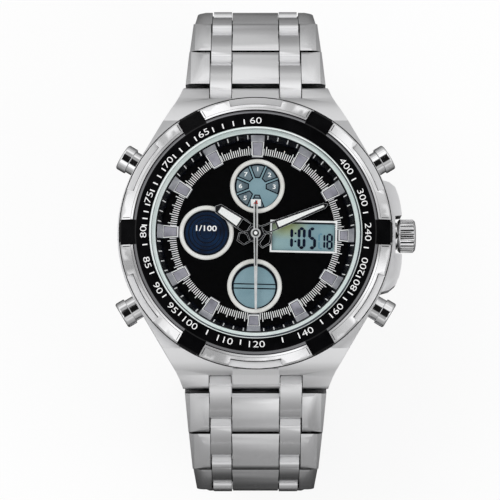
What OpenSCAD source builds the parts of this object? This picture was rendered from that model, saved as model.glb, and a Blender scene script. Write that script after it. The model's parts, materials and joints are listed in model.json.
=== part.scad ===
/* [Case] */
// Radius of the movement cavity, which the case, bezel, crystal and dial follow
cavity_r = 17.2; // [16.8:0.1:17.6]
// Height of the bezel seat above the case back
band_top = 8.2; // [8:0.1:9]
// Height of the case underside above the outer face of the back
band_bottom = 0.25; // [0.2:0.05:0.5]
// Step from the bezel out to the round case band
band_step = 0.4; // [0.2:0.05:0.6]
// Distance of the lug pivots beyond the case band
lug_reach = 0.9; // [0.7:0.05:1.4]
// Height of the lug pivots above the back
lug_h = 2.2; // [2.1:0.1:3]
// Extra half width of the lugs beside the first links
lug_side = 0.1; // [0:0.05:0.4]
// Radius of the lug ends round their pins
lug_round = 1.6; // [1.4:0.05:1.75]
// Height of the crown and pusher axes above the back
control_h = 4.6; // [4.4:0.1:5]

/* [Back] */
// Width of the case back beyond its circle of screws
back_edge = 1.4; // [1.25:0.05:1.5]
// Thickness of the case back flange
back_t = 1.0; // [0.8:0.1:1.2]
// Number of case back screws
back_screws = 6; // [4:1:8]

/* [Bezel] */
// Width of the flat of the black scale ring
scale_w = 2.1; // [1.8:0.05:2.3]
// Width of the slope outside that flat
scale_slope_w = 0.65; // [0.45:0.05:0.9]
// Width of the steel rim outside the scale ring
rim_w = 2.2; // [2:0.05:2.5]
// Height of the scale ring's flat above the back
scale_top = 11.3; // [11:0.1:11.6]
// Number of black tabs
tabs = 6; // [4:1:8]
// Width of each black tab
tab_w = 4.0; // [3:0.1:5]
// Half angle of the recess between two tabs
recess_half_angle = 11.3; // [6:0.1:14]
// Width of the recess in the steel rim
recess_w = 1.25; // [0.8:0.05:1.4]
// Depth of the recess
recess_d = 0.4; // [0.2:0.05:0.6]

/* [Crystal and dial] */
// Thickness of the crystal
crystal_t = 1.6; // [1.2:0.1:2]
// Height of the crystal's underside above the back
crystal_h = 10.0; // [10:0.1:10.4]
// Height of the dial's face above the back
dial_h = 8.3; // [8.2:0.05:8.4]
// Thickness of the dial
dial_t = 0.4; // [0.3:0.05:0.5]
// Width of the sloped ring round the dial
slope_w = 0.9; // [0.6:0.05:1.2]
// Clockwise turn of the dial in the case, in degrees
dial_turn = 1.3; // [0:0.1:2]
// Width of a marker at its inner end
marker_in_w = 1.8; // [1.2:0.05:2]
// Width of a marker at its outer end
marker_out_w = 2.35; // [1.8:0.05:2.6]
// Height of a marker above the dial
marker_t = 0.4; // [0.2:0.05:0.5]
// Outer radius of the round display frames
ring_r = 4.6; // [4:0.05:4.65]
// Inner radius of the round display frames
window_r = 3.87; // [3.4:0.05:4]
// Width of the rectangular display frame
lcd_w = 11.3; // [10:0.1:11.4]
// Height of the rectangular display frame
lcd_l = 5.46; // [5:0.02:6]
// Bar width of the rectangular frame
lcd_bar = 0.3; // [0.2:0.05:0.5]

/* [Hands] */
// Length of the hour hand
hour_l = 8.2; // [7:0.1:9]
// Clock angle of the hour hand
hour_at = 304; // [0:1:359]
// Length of the minute hand
minute_l = 13.1; // [11:0.1:13.5]
// Clock angle of the minute hand
minute_at = 68; // [0:1:359]
// Length of the second hand
second_l = 13.0; // [11:0.1:14]
// Clock angle of the second hand
second_at = 180; // [0:1:359]
// Length of the second hand's tail
second_tail = 4.9; // [3:0.1:6]
// Thickness of each hand
hand_t = 0.18; // [0.12:0.02:0.2]
// Height from one hand to the next
hand_step = 0.36; // [0.34:0.02:0.4]

/* [Crown and pushers] */
// Radius of the crown
crown_r = 2.85; // [2.5:0.05:3.1]
// Length of the crown
crown_l = 3.0; // [2.6:0.1:3.4]
// Gap between the round case band and the crown
crown_gap = 0.8; // [0.7:0.05:1.3]
// Number of flutes round the crown
crown_flutes = 24; // [18:1:30]
// Travel of the crown when it is pulled
crown_travel = 1.0; // [0.6:0.1:1.2]
// Angle of the pushers above and below the crown axis
pusher_angle = 31; // [29:0.5:33]
// Radius of a pusher's cap
pusher_r = 2.3; // [2.15:0.05:2.5]
// Distance of a cap's outer face beyond the round case band
pusher_reach = 3.15; // [2.95:0.05:3.6]
// Length of a cap
pusher_l = 1.75; // [1.5:0.05:2]
// Outer radius of a pusher's tube
pusher_tube_r = 2.0; // [1.8:0.05:2.05]
// Travel of a pusher
pusher_travel = 0.8; // [0.4:0.1:0.8]

/* [Bracelet] */
// Number of links on each side
links = 8; // [8:1:8]
// Distance from one link pivot to the next
pitch = 8.4; // [8.2:0.05:8.6]
// Thickness of the outer and centre link pieces
link_t = 3.4; // [3.2:0.1:3.6]
// Rise of the crowned top of each link piece
link_crown = 0.3; // [0.2:0.05:0.4]
// Extra height of the narrow link pieces
narrow_proud = 0.2; // [0.1:0.05:0.3]
// Width of the bracelet at the lugs
band_w = 24.4; // [23.5:0.1:25]
// Width of the bracelet at the clasp
clasp_w = 18.4; // [18.2:0.1:19]
// Number of links over which the bracelet tapers
taper_links = 5; // [4:1:7]
// Width of the centre pieces
centre_w = 8.1; // [7.6:0.1:8.3]
// Width of a narrow piece at the lugs
narrow_w = 3.65; // [3.4:0.05:3.8]
// Width of a narrow piece at the clasp
narrow_end_w = 2.95; // [2.8:0.05:3.1]
// Gap between two pieces end to end
end_gap = 0.3; // [0.24:0.02:0.36]
// Gap between two narrow pieces end to end
narrow_gap = 0.18; // [0.16:0.01:0.24]
// Gap between the lugs and the first outer and centre pieces
lug_gap = 0.8; // [0.6:0.05:0.9]
// Gap between two pieces side by side
side_gap = 0.12; // [0.1:0.01:0.14]
// Radius of the link pins
pin_r = 0.6; // [0.5:0.05:0.7]
// Running clearance round a pin
run_gap = 0.05; // [0.02:0.01:0.08]
// Clearance round a pin that is pressed in
seat_gap = 0.02; // [0.01:0.01:0.03]

/* [Clasp] */
// Distance between the bracelet pivots at the clasp
clasp_l = 35.4; // [34.5:0.1:36.5]
// Height of those pivots above the clasp's outer face
clasp_pivot_h = 3.2; // [3:0.1:3.4]
// Thickness of the cover's plate
cover_t = 1.0; // [0.8:0.05:1]
// Thickness of the cover's side walls
cover_wall = 0.9; // [0.7:0.05:1]
// Height of the cover's side walls
cover_h = 4.2; // [3.9:0.1:4.4]
// Thickness of the folding leaves
leaf_t = 0.9; // [0.7:0.05:0.9]
// Half width of the folding leaves
leaf_half_w = 7.0; // [6.6:0.1:7]
// Radius of the rolled eyes of the leaves
eye_r = 1.15; // [1:0.05:1.2]
// Radius of a clasp button
button_r = 1.25; // [1:0.05:1.3]
// Travel of a clasp button
button_travel = 0.6; // [0.3:0.1:0.6]

/* [Hidden] */
$fn = 64;
eps = 0.01;
touch = 0.02;
// Length of a cut that passes through everything in its way.
through = 80;

// Radii of the head, from the movement cavity outwards.
wall_gap = 0.05;
pocket_r = cavity_r + 3.2;
screw_circle_r = pocket_r - 1.0;
back_r = screw_circle_r + back_edge;
scale_bore_r = cavity_r + 0.75;
scale_flat_r = scale_bore_r + scale_w;
scale_ring_r = scale_flat_r + scale_slope_w;
bezel_r = scale_ring_r + rim_w;
recess_r = bezel_r - recess_w;
case_r = bezel_r + band_step;
lug_y = case_r + lug_reach;
crown_x = case_r + crown_gap;
pusher_end = case_r + pusher_reach;
gasket_r = scale_bore_r - 0.1;
crystal_r = gasket_r - 0.4;
dial_r = cavity_r - 0.6;
slope_foot_r = dial_r - slope_w;
slope_top_r = dial_r + 0.1;
module_r = cavity_r - 1.9;

// The closed bracelet: slope of each link below the dial's plane before it is closed.
wanted_slopes = [36, 44, 66, 90, 109, 128, 148, 165];
function total(v, i = 0) = i < len(v) ? v[i] + total(v, i + 1) : 0;
function end_y(k) = lug_y + pitch * total([for (a = wanted_slopes) cos(k * a)]);
function closing(lo, hi, n) =
    n == 0 ? (lo + hi) / 2 :
    end_y((lo + hi) / 2) > clasp_l / 2 ? closing((lo + hi) / 2, hi, n - 1) :
    closing(lo, (lo + hi) / 2, n - 1);
curl = closing(0.9, 1.1, 24);
slopes = [for (a = wanted_slopes) curl * a];
function along(i) = i == 0 ? 0 : along(i - 1) + pitch * cos(slopes[i - 1]);
function below(i) = i == 0 ? 0 : below(i - 1) + pitch * sin(slopes[i - 1]);
lug_z = clasp_pivot_h + below(links);
head_z = lug_z - lug_h;
clasp_y = clasp_l / 2;

// Link columns across the bracelet.
knuckle_r = pitch / 4 - end_gap / 2;
hollow_r = pitch / 4 + end_gap / 2;
centre_half = centre_w / 2;
narrow_x = centre_half + side_gap;
function tapered(u, a, b) = a + (b - a) * min(1, max(0, u) / (taper_links * pitch));
function half_band(u) = tapered(u, band_w, clasp_w) / 2;
function narrow_at(u) = tapered(u, narrow_w, narrow_end_w);
function outer_x(u) = narrow_x + narrow_at(u) + side_gap;
bore_seat_r = pin_r + seat_gap;
bore_run_r = pin_r + run_gap;

// Heights in the head, measured from the outer face of the case back.
lug_half_w = band_w / 2 + lug_side;
spigot_t = 0.8;
gasket_foot = 0.5;
ledge_h = crystal_h - gasket_foot;
slope_top_h = crystal_h - 0.08;
bezel_floor = scale_top - 1.1;
lcd_t = 0.6;
plate_t = 1.0;
plate_top = dial_h - dial_t - lcd_t - 0.1;
board_t = 0.6;
board_h = 2.6;
back_inside = back_t + spigot_t;

// Case back screws and the gasket's groove.
screw_r = 0.6;
screw_l = 3.4;
head_r = 1.08;
head_low = 0.05;
screw_head_t = 0.5;
slot_w = 0.26;
groove_w = 0.85;
groove_t = 0.5;
groove_h = back_t + 0.1;

// Places on the dial, and the inner ends of the markers that keep clear of them.
top_ring = [0.1, 8.1];
left_ring = [-8.3, 0];
low_ring = [0, -8.85];
lcd_at = [8.07, -0.3];
marker_in_r = ring_r - left_ring[0] + 0.05;
marker_three_r = lcd_at[0] + lcd_w / 2 + 0.15;
marker_six_r = ring_r - low_ring[1] + 0.15;

// Heights and bores of the three hands.
hour_z = dial_h + 0.38;
minute_z = hour_z + hand_step;
second_z = minute_z + hand_step;
hour_pipe_r = 1.0;
minute_pipe_r = 0.66;
staff_r = 0.3;
lume_t = 0.08;

// Movement parts.
battery_at = [-6.2, -5.2];
battery_r = 4.75;
battery_t = 2.1;
coil_at = [6.4, -7.2];
coil_r = 1.2;
coil_l = 8.8;
core_r = 0.5;
core_l = 11.2;
stem_r = 0.45;
stem_in = 11.2;

// Crown and pusher parts.
crown_bore_r = 1.75;
tube_out_r = 1.3;
pusher_stem_r = 0.6;
pusher_face_t = 0.55;
pusher_angles = [pusher_angle, -pusher_angle, 180 + pusher_angle, 180 - pusher_angle];

// Heights of the clasp's two hinges and leaves.
hinge_1 = [clasp_y - 4.5, 2.2];
hinge_2 = [-clasp_y + 6.5, 2.75];
middle_h = cover_t + 0.3;
inner_h = hinge_1[1] + eye_r + 0.15;
tube_r = 1.6;
clasp_pin_r = 0.5;
bar_r = 0.75;
fork_clear = 0.7;
eye_half_l = 4;
button_y = -1.5;
button_z = 2.7;
inside_half = clasp_w / 2 - cover_wall;

steel = "silver";
polished = "gainsboro";
black = "#141416";
inside_metal = "#b8a070";

module head() {
    translate([0, 0, head_z])
        children();
}

module along_x(x0, x1) {
    translate([x0, 0, 0])
        rotate([90, 0, 90])
            linear_extrude(x1 - x0)
                children();
}

module both_sides() {
    children();
    mirror([1, 0, 0])
        children();
}

module both_ends() {
    children();
    mirror([0, 1, 0])
        children();
}

module ring(outer, inner, low, high) {
    translate([0, 0, low])
        difference() {
            cylinder(r = outer, h = high - low);
            translate([0, 0, -eps])
                cylinder(r = inner, h = high - low + 2 * eps);
        }
}

// Turns a piece that points to twelve to a clock angle.
module clock(angle) {
    rotate([0, 0, -angle])
        children();
}

// Round cut across the whole width of the bracelet.
module cross_bore(y, z, r) {
    translate([-through / 2, y, z])
        rotate([0, 90, 0])
            cylinder(r = r, h = through);
}

// Lies a piece drawn up +Z along a radius in the dial's plane at the controls' height.
module control(angle) {
    translate([0, 0, control_h])
        rotate([0, 0, angle])
            rotate([0, 90, 0])
                children();
}

// Case

module case_plan() {
    tangent = 30.5;
    tangent_x = case_r * cos(tangent);
    tangent_y = case_r * sin(tangent);
    lug_end = lug_y + lug_round;
    shoulder_y = lug_end - 2.25;
    shoulder_x = tangent_x - (shoulder_y - tangent_y) * tan(tangent);
    circle(r = case_r, $fn = 128);
    polygon([
        [lug_half_w, lug_end],
        [shoulder_x - 0.2, shoulder_y + 0.5],
        [shoulder_x + 0.5, shoulder_y - 0.9],
        [tangent_x, tangent_y],
        [tangent_x, -tangent_y],
        [shoulder_x + 0.5, 0.9 - shoulder_y],
        [shoulder_x - 0.2, -shoulder_y - 0.5],
        [lug_half_w, -lug_end],
        [-lug_half_w, -lug_end],
        [0.2 - shoulder_x, -shoulder_y - 0.5],
        [-shoulder_x - 0.5, 0.9 - shoulder_y],
        [-tangent_x, -tangent_y],
        [-tangent_x, tangent_y],
        [-shoulder_x - 0.5, shoulder_y - 0.9],
        [0.2 - shoulder_x, shoulder_y + 0.5],
        [-lug_half_w, lug_end]
    ]);
}

// Side view of the case from the lug on one side to the lug on the other.
module case_side() {
    ends = lug_y + lug_round - 0.4;
    crest = lug_h + lug_round - 0.18;
    polygon([
        [lug_y, band_bottom],
        [ends, crest],
        [lug_y - 0.6, lug_h + 2.9],
        [lug_y - 2.7, band_top - 1.1],
        [lug_y - 4.9, band_top],
        [4.9 - lug_y, band_top],
        [2.7 - lug_y, band_top - 1.1],
        [0.6 - lug_y, lug_h + 2.9],
        [-ends, crest],
        [-lug_y, band_bottom]
    ]);
    for (y = [-lug_y, lug_y])
        translate([y, lug_h])
            circle(r = lug_round);
}

module crown_guards() {
    translate([case_r, 0, 1.6])
        linear_extrude(band_top - 2.6)
            polygon([
                [-2.3, 9.4], [-0.7, 8.9], [0.3, 8.1], [0.85, 6.6], [1.2, 5.0], [1.4, crown_r + 0.45],
                [0.3, crown_r + 0.3], [0.3, -crown_r - 0.3], [1.4, -crown_r - 0.45],
                [1.3, -5.0], [1.0, -6.8], [0.3, -8.5], [-0.8, -9.4], [-2.3, -9.8]
            ]);
}

// Room for the narrow pieces of the first link between a lug and the centre tongue.
module lug_slot() {
    both_sides()
        along_x(centre_half, outer_x(0)) {
            translate([lug_y, lug_h])
                circle(r = hollow_r);
            translate([lug_y - hollow_r, lug_h - band_top])
                square(band_top);
            translate([lug_y - 0.6, lug_h])
                square(band_top);
        }
}

module case_holes() {
    translate([0, 0, -eps])
        cylinder(r = cavity_r, h = band_top + 1, $fn = 128);
    translate([0, 0, -eps])
        cylinder(r = back_r + wall_gap, h = back_t + wall_gap + eps, $fn = 128);
    for (i = [0 : back_screws - 1])
        rotate([0, 0, 30 + i * 360 / back_screws])
            translate([screw_circle_r, 0, 0])
                cylinder(r = screw_r + seat_gap, h = screw_l + 0.2);
    both_ends()
        lug_slot();
    both_ends()
        along_x(-lug_half_w + 1.2, lug_half_w - 1.2)
            translate([lug_y, lug_h])
                circle(r = bore_seat_r);
    control(0)
        cylinder(r = tube_out_r + seat_gap, h = through);
    for (a = pusher_angles)
        control(a) {
            cylinder(r = pusher_stem_r + 0.15, h = through);
            translate([0, 0, pocket_r])
                cylinder(r = pusher_tube_r + seat_gap, h = through);
        }
}

module case() {
    color(steel)
        head()
            difference() {
                union() {
                    intersection() {
                        translate([0, 0, band_bottom])
                            linear_extrude(band_top - band_bottom)
                                case_plan();
                        along_x(-through / 2, through / 2)
                            case_side();
                    }
                    crown_guards();
                }
                case_holes();
            }
}

module lug_pins() {
    color(polished)
        head()
            both_ends()
                along_x(-lug_half_w + 1.25, lug_half_w - 1.25)
                    translate([lug_y, lug_h])
                        circle(r = pin_r);
}

module case_back() {
    color(steel)
        head()
            difference() {
                union() {
                    cylinder(r1 = back_r - 0.4, r2 = back_r, h = 0.4, $fn = 128);
                    translate([0, 0, 0.4])
                        cylinder(r = back_r, h = back_t - 0.4, $fn = 128);
                    translate([0, 0, back_t])
                        cylinder(r = cavity_r - wall_gap, h = spigot_t, $fn = 128);
                }
                ring(cavity_r - 0.6, cavity_r - 2.0, -eps, 0.2);
                ring(cavity_r + eps, cavity_r - groove_w, groove_h, groove_h + groove_t);
                for (i = [0 : back_screws - 1])
                    rotate([0, 0, 30 + i * 360 / back_screws])
                        translate([screw_circle_r, 0, -eps]) {
                            cylinder(r = screw_r + run_gap, h = screw_l);
                            cylinder(r = head_r + run_gap, h = head_low + screw_head_t + eps + touch);
                        }
            }
}

module case_back_screws() {
    color(polished)
        head()
            for (i = [0 : back_screws - 1])
                rotate([0, 0, 30 + i * 360 / back_screws])
                    translate([screw_circle_r, 0, 0])
                        difference() {
                            union() {
                                translate([0, 0, head_low])
                                    cylinder(r = head_r, h = screw_head_t);
                                translate([0, 0, head_low])
                                    cylinder(r = screw_r, h = screw_l - head_low);
                            }
                            translate([-head_r - eps, -slot_w / 2, -eps])
                                cube([2 * head_r + 2 * eps, slot_w, 0.3]);
                        }
}

module case_back_gasket() {
    color("#202020")
        head()
            ring(cavity_r - wall_gap, cavity_r - groove_w + touch,
                groove_h + touch, groove_h + groove_t - touch);
}

// Bezel

module bezel_section() {
    polygon([
        [dial_r + 0.2, band_top - 0.4],
        [cavity_r - wall_gap, band_top - 0.4],
        [cavity_r - wall_gap, band_top],
        [bezel_r, band_top],
        [bezel_r, scale_top - 1.0],
        [bezel_r - 0.35, scale_top - 0.65],
        [scale_ring_r + 0.35, scale_top - 0.1],
        [scale_ring_r + 0.05, scale_top - 0.4],
        [scale_ring_r + 0.05, bezel_floor],
        [gasket_r + 0.05, bezel_floor],
        [gasket_r + 0.05, ledge_h],
        [dial_r + 0.2, ledge_h]
    ]);
}

module bezel() {
    color(steel)
        head()
            difference() {
                rotate_extrude($fn = 128)
                    bezel_section();
                for (i = [0 : tabs - 1])
                    clock(30 + i * 360 / tabs)
                        translate([-tab_w / 2 - 0.1, scale_ring_r - 1, bezel_floor - 0.8])
                            cube([tab_w + 0.2, rim_w + 2, 4]);
                for (i = [0 : tabs - 1])
                    clock(i * 360 / tabs)
                        recess_cut();
            }
}

module recess_cut() {
    x_half = (bezel_r + 1) * tan(recess_half_angle);
    intersection() {
        ring(bezel_r + 1, recess_r, scale_top - 0.5 - recess_d, scale_top + 1);
        translate([0, 0, scale_top - 3])
            linear_extrude(5)
                polygon([[0, 0], [x_half, bezel_r + 1], [-x_half, bezel_r + 1]]);
    }
}

module bezel_ring() {
    low = bezel_floor - 0.75;
    color(black)
        head() {
            rotate_extrude($fn = 128)
                polygon([
                    [scale_bore_r, bezel_floor],
                    [scale_ring_r, bezel_floor],
                    [scale_ring_r, scale_top - 0.4],
                    [scale_flat_r, scale_top],
                    [scale_bore_r, scale_top]
                ]);
            for (i = [0 : tabs - 1])
                clock(30 + i * 360 / tabs)
                    intersection() {
                        along_x(-tab_w / 2, tab_w / 2)
                            polygon([
                                [scale_flat_r, bezel_floor],
                                [scale_ring_r + 0.1, low],
                                [bezel_r + 0.05, low],
                                [bezel_r + 0.05, scale_top - 0.9],
                                [bezel_r - 0.35, scale_top - 0.4],
                                [scale_flat_r, scale_top - 0.1]
                            ]);
                        translate([0, 0, low])
                            linear_extrude(3)
                                polygon([
                                    [-tab_w / 2, scale_bore_r], [tab_w / 2, scale_bore_r],
                                    [tab_w / 2, bezel_r - 0.6], [tab_w / 2 - 0.5, bezel_r + 0.1],
                                    [0.5 - tab_w / 2, bezel_r + 0.1], [-tab_w / 2, bezel_r - 0.6]
                                ]);
                    }
        }
}

// Crystal, dial and what is on it

module crystal() {
    chamfer = 0.45;
    color("lightblue", 0.3)
        head()
            translate([0, 0, crystal_h])
                rotate_extrude($fn = 128)
                    polygon([
                        [0, 0], [crystal_r, 0], [crystal_r, crystal_t - chamfer],
                        [crystal_r - chamfer, crystal_t], [0, crystal_t]
                    ]);
}

module crystal_gasket() {
    gasket_top = crystal_h + 1.1;
    color("#d8ece8")
        head()
            rotate_extrude($fn = 128)
                polygon([
                    [dial_r + 0.25, ledge_h], [gasket_r, ledge_h], [gasket_r, gasket_top],
                    [crystal_r + touch, gasket_top], [crystal_r + touch, crystal_h - touch],
                    [dial_r + 0.25, crystal_h - touch]
                ]);
}

module chapter_ring() {
    color(black)
        head()
            rotate_extrude($fn = 128)
                polygon([
                    [slope_foot_r, dial_h], [dial_r, dial_h], [slope_top_r + 0.05, slope_top_h],
                    [slope_top_r, slope_top_h]
                ]);
}

module dial() {
    color(black)
        head()
            clock(dial_turn)
                translate([0, 0, dial_h - dial_t])
                    difference() {
                        cylinder(r = dial_r, h = dial_t, $fn = 128);
                        translate([0, 0, -eps])
                            cylinder(r = hour_pipe_r + 0.15, h = 1);
                        for (p = [top_ring, left_ring, low_ring])
                            translate([p[0], p[1], -eps])
                                cylinder(r = window_r + 0.2, h = 1);
                        translate([lcd_at[0] - lcd_w / 2 + 0.1, lcd_at[1] - lcd_l / 2 + 0.1, -eps])
                            cube([lcd_w - 0.2, lcd_l - 0.2, 1]);
                    }
}

module subdial_rings() {
    color("#d8d8d0")
        head()
            clock(dial_turn)
                for (p = [top_ring, left_ring, low_ring])
                    translate([p[0], p[1], dial_h])
                        rotate_extrude()
                            polygon([
                                [window_r, -dial_t], [window_r + 0.15, -dial_t], [window_r + 0.15, 0],
                                [ring_r, 0], [ring_r - 0.15, 0.16], [window_r + 0.15, 0.16],
                                [window_r, 0]
                            ]);
}

module lcd_frame() {
    color("#e8e8e8")
        head()
            clock(dial_turn)
                translate([lcd_at[0], lcd_at[1], dial_h])
                    difference() {
                        translate([-lcd_w / 2, -lcd_l / 2, 0])
                            cube([lcd_w, lcd_l, 0.14]);
                        translate([lcd_bar - lcd_w / 2, lcd_bar - lcd_l / 2, -1])
                            cube([lcd_w - 2 * lcd_bar, lcd_l - 2 * lcd_bar, 3]);
                    }
}

module lcd_panel() {
    color("#8fb4c4")
        head()
            clock(dial_turn)
                translate([0, 0, dial_h - dial_t - lcd_t])
                    difference() {
                        cylinder(r = dial_r - 2.3, h = lcd_t);
                        translate([0, 0, -eps])
                            cylinder(r = hour_pipe_r + 0.5, h = 1);
                    }
}

// Radius of the sloped ring's face at a height above the dial, less a small gap.
function slope_at(h) =
    slope_foot_r - touch + h * (slope_top_r - slope_foot_r) / (slope_top_h - dial_h);

module marker(inner_r) {
    step_r = slope_foot_r - 0.05;
    half = marker_in_w / 2;
    half_out = marker_out_w / 2;
    translate([0, 0, dial_h])
        intersection() {
            linear_extrude(1.5)
                polygon([
                    [-half, inner_r], [half, inner_r],
                    [half_out, slope_top_r], [-half_out, slope_top_r]
                ]);
            along_x(-2, 2)
                polygon([
                    [inner_r, 0], [inner_r, marker_t - 0.12], [inner_r + 0.12, marker_t],
                    [step_r - 0.1, marker_t], [step_r, marker_t + 0.15],
                    [slope_at(1.4) - 0.12, 1.4], [slope_at(1.4), 1.4], [slope_at(0), 0]
                ]);
        }
}

module hour_markers() {
    color("#a8a8b4")
        head()
            clock(dial_turn)
                for (i = [0 : 11])
                    clock(i * 30)
                        marker(i == 3 ? marker_three_r : i == 6 ? marker_six_r : marker_in_r);
}

// Hands, drawn pointing to twelve

// Blade of a hand with an open base, an open tail and a recess for its filling:
// base, front and tail are half widths, lume the recess's ends.
module blade(len, base, front, tip, lume, tail, tail_l, hub, bore) {
    rail = 0.27;
    difference() {
        linear_extrude(hand_t)
            difference() {
                union() {
                    circle(r = hub);
                    polygon([
                        [base, 0.5], [base, lume[0]], [front, len - tip], [0.12, len],
                        [-0.12, len], [-front, len - tip], [-base, lume[0]], [-base, 0.5],
                        [-0.8 * tail, -0.5], [-tail, 0.75 - tail_l], [-0.1, -tail_l],
                        [0.1, -tail_l], [tail, 0.75 - tail_l], [0.8 * tail, -0.5]
                    ]);
                }
                polygon([
                    [rail - base, hub], [base - rail, hub],
                    [base - rail, lume[0] - rail], [rail - base, lume[0] - rail]
                ]);
                polygon([
                    [rail - 0.85 * tail, -hub], [0.85 * tail - rail, -hub],
                    [tail - rail, 0.9 - tail_l], [0, rail + 0.1 - tail_l], [rail - tail, 0.9 - tail_l]
                ]);
            }
        translate([0, 0, hand_t - lume_t])
            linear_extrude(1)
                polygon([
                    [rail - base, lume[0]], [base - rail, lume[0]],
                    [front - rail, lume[1]], [rail - front, lume[1]]
                ]);
        translate([0, 0, -1])
            cylinder(r = bore, h = 3);
    }
}

module hour_hand() {
    color(polished)
        head()
            clock(hour_at)
                translate([0, 0, hour_z])
                    blade(hour_l, 1.08, 0.88, 0.55, [3.35, hour_l - 0.85], 1.5, 3.1,
                        1.55, hour_pipe_r + seat_gap);
}

module hour_pipe() {
    color(inside_metal)
        head() {
            ring(hour_pipe_r, minute_pipe_r + run_gap, plate_top - 2.0, hour_z + hand_t);
            ring(2.6, minute_pipe_r + run_gap, plate_top - 2.0, plate_top - 1.7);
        }
}

module minute_hand() {
    color(polished)
        head()
            clock(minute_at)
                translate([0, 0, minute_z])
                    blade(minute_l, 0.84, 0.5, 0.65, [3.95, minute_l - 0.65], 1.15, 3.4,
                        1.3, minute_pipe_r + seat_gap);
}

module minute_pipe() {
    color(inside_metal)
        head() {
            ring(minute_pipe_r, staff_r + run_gap, plate_top - 2.4, minute_z + hand_t);
            ring(2.9, staff_r + run_gap, plate_top - 2.6, plate_top - 2.3);
        }
}

module second_hand() {
    hub = 0.83;
    slot = 0.12;
    color("#e4e4e6")
        head()
            clock(second_at)
                translate([0, 0, second_z])
                    difference() {
                        union() {
                            linear_extrude(0.14)
                                difference() {
                                    union() {
                                        circle(r = hub);
                                        polygon([
                                            [0.36, 0], [0.17, second_l], [-0.17, second_l], [-0.36, 0],
                                            [-0.38, -second_tail], [0.38, -second_tail]
                                        ]);
                                    }
                                    polygon([
                                        [-slot, hub], [slot, hub], [slot / 2, 5.5], [-slot / 2, 5.5]
                                    ]);
                                    translate([-slot, 0.15 - second_tail])
                                        square([2 * slot, second_tail - hub - 0.15]);
                                }
                            cylinder(r = 0.35, h = 0.3);
                        }
                        translate([0, 0, -1])
                            cylinder(r = staff_r + seat_gap, h = 1.2);
                        ring(0.56, 0.36, 0.06, 1);
                    }
}

module second_staff() {
    color(inside_metal)
        head() {
            translate([0, 0, plate_top - 3.2])
                cylinder(r = staff_r, h = second_z + 0.19 - plate_top + 3.2);
            ring(3.1, staff_r, plate_top - 3.0, plate_top - 2.8);
        }
}

// Movement

module main_plate() {
    color(inside_metal)
        head()
            difference() {
                translate([0, 0, plate_top - plate_t])
                    cylinder(r = module_r, h = plate_t);
                cylinder(r = hour_pipe_r + run_gap, h = 20);
            }
}

// Room for the coil in the module and in the board.
module coil_room(h) {
    translate([coil_at[0] - core_l / 2 - 0.4, coil_at[1] - coil_r - 0.5, 0])
        cube([core_l + 0.8, 2 * coil_r + 1, h]);
}

module movement_module() {
    top = plate_top - plate_t;
    color("#303438")
        head()
            difference() {
                translate([0, 0, board_h + board_t])
                    cylinder(r = module_r, h = top - board_h - board_t);
                translate([0, 0, top - 2.6])
                    cylinder(r = 3.3, h = 3);
                translate([battery_at[0], battery_at[1], 0])
                    cylinder(r = battery_r + 0.1, h = board_h + board_t + 1.7);
                coil_room(board_h + board_t + 2.0);
                translate([stem_in - 0.8, -1.8, control_h - 1.3])
                    cube([module_r, 3.6, 2.5]);
            }
}

module movement_ring() {
    color("#e6e6e0")
        head()
            difference() {
                ring(cavity_r - wall_gap, module_r + wall_gap, back_inside + 0.05, plate_top);
                for (a = pusher_angles)
                    control(a)
                        cylinder(r = pusher_stem_r + 0.2, h = through);
                control(0)
                    cylinder(r = 2 * stem_r, h = through);
            }
}

module circuit_board() {
    color("#2e6b3a")
        head()
            difference() {
                translate([0, 0, board_h])
                    cylinder(r = module_r - 0.1, h = board_t);
                translate([battery_at[0], battery_at[1], 0])
                    cylinder(r = battery_r + 0.1, h = board_h + 1);
                coil_room(board_h + 1);
            }
}

module battery() {
    color(polished)
        head()
            translate([battery_at[0], battery_at[1], board_h])
                cylinder(r = battery_r, h = battery_t);
}

module battery_strap() {
    strap_l = 15;
    strap_w = 3.2;
    color(polished)
        head()
            difference() {
                intersection() {
                    translate([battery_at[0] - strap_l / 2, battery_at[1] - strap_w / 2, board_h - 0.25])
                        cube([strap_l, strap_w, 0.22]);
                    cylinder(r = module_r - 0.3, h = board_h);
                }
                translate([battery_at[0] + battery_r + 1.55, battery_at[1], 0])
                    cylinder(r = 0.5, h = board_h);
            }
}

module coil() {
    color("#b8602c")
        head()
            translate([coil_at[0], coil_at[1], board_h + 1.3])
                rotate([0, 90, 0]) {
                    translate([0, 0, -coil_l / 2])
                        cylinder(r = coil_r, h = coil_l);
                    translate([0, 0, -core_l / 2])
                        cylinder(r = core_r, h = core_l);
                }
}

// Crown and pushers

module crown() {
    color(polished)
        head()
            control(0)
                translate([0, 0, crown_x])
                    difference() {
                        rotate_extrude()
                            polygon([
                                [0, 0], [crown_r - 0.35, 0], [crown_r, 0.3], [crown_r, crown_l - 0.45],
                                [crown_r - 0.4, crown_l - 0.1], [crown_r - 0.9, crown_l], [0, crown_l]
                            ]);
                        translate([0, 0, -eps])
                            cylinder(r = crown_bore_r, h = 1.9);
                        for (i = [0 : crown_flutes - 1])
                            rotate([0, 0, i * 360 / crown_flutes])
                                translate([crown_r + 0.1, 0, 0.35])
                                    cylinder(r = 0.26, h = crown_l, $fn = 16);
                        cylinder(r = stem_r, h = 2.2);
                    }
}

module stem() {
    color(inside_metal)
        head()
            control(0)
                difference() {
                    translate([0, 0, stem_in])
                        cylinder(r = stem_r - touch, h = crown_x + 2.2 - stem_in);
                    ring(1, 0.3, stem_in + 1.0, stem_in + 1.7);
                }
}

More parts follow.
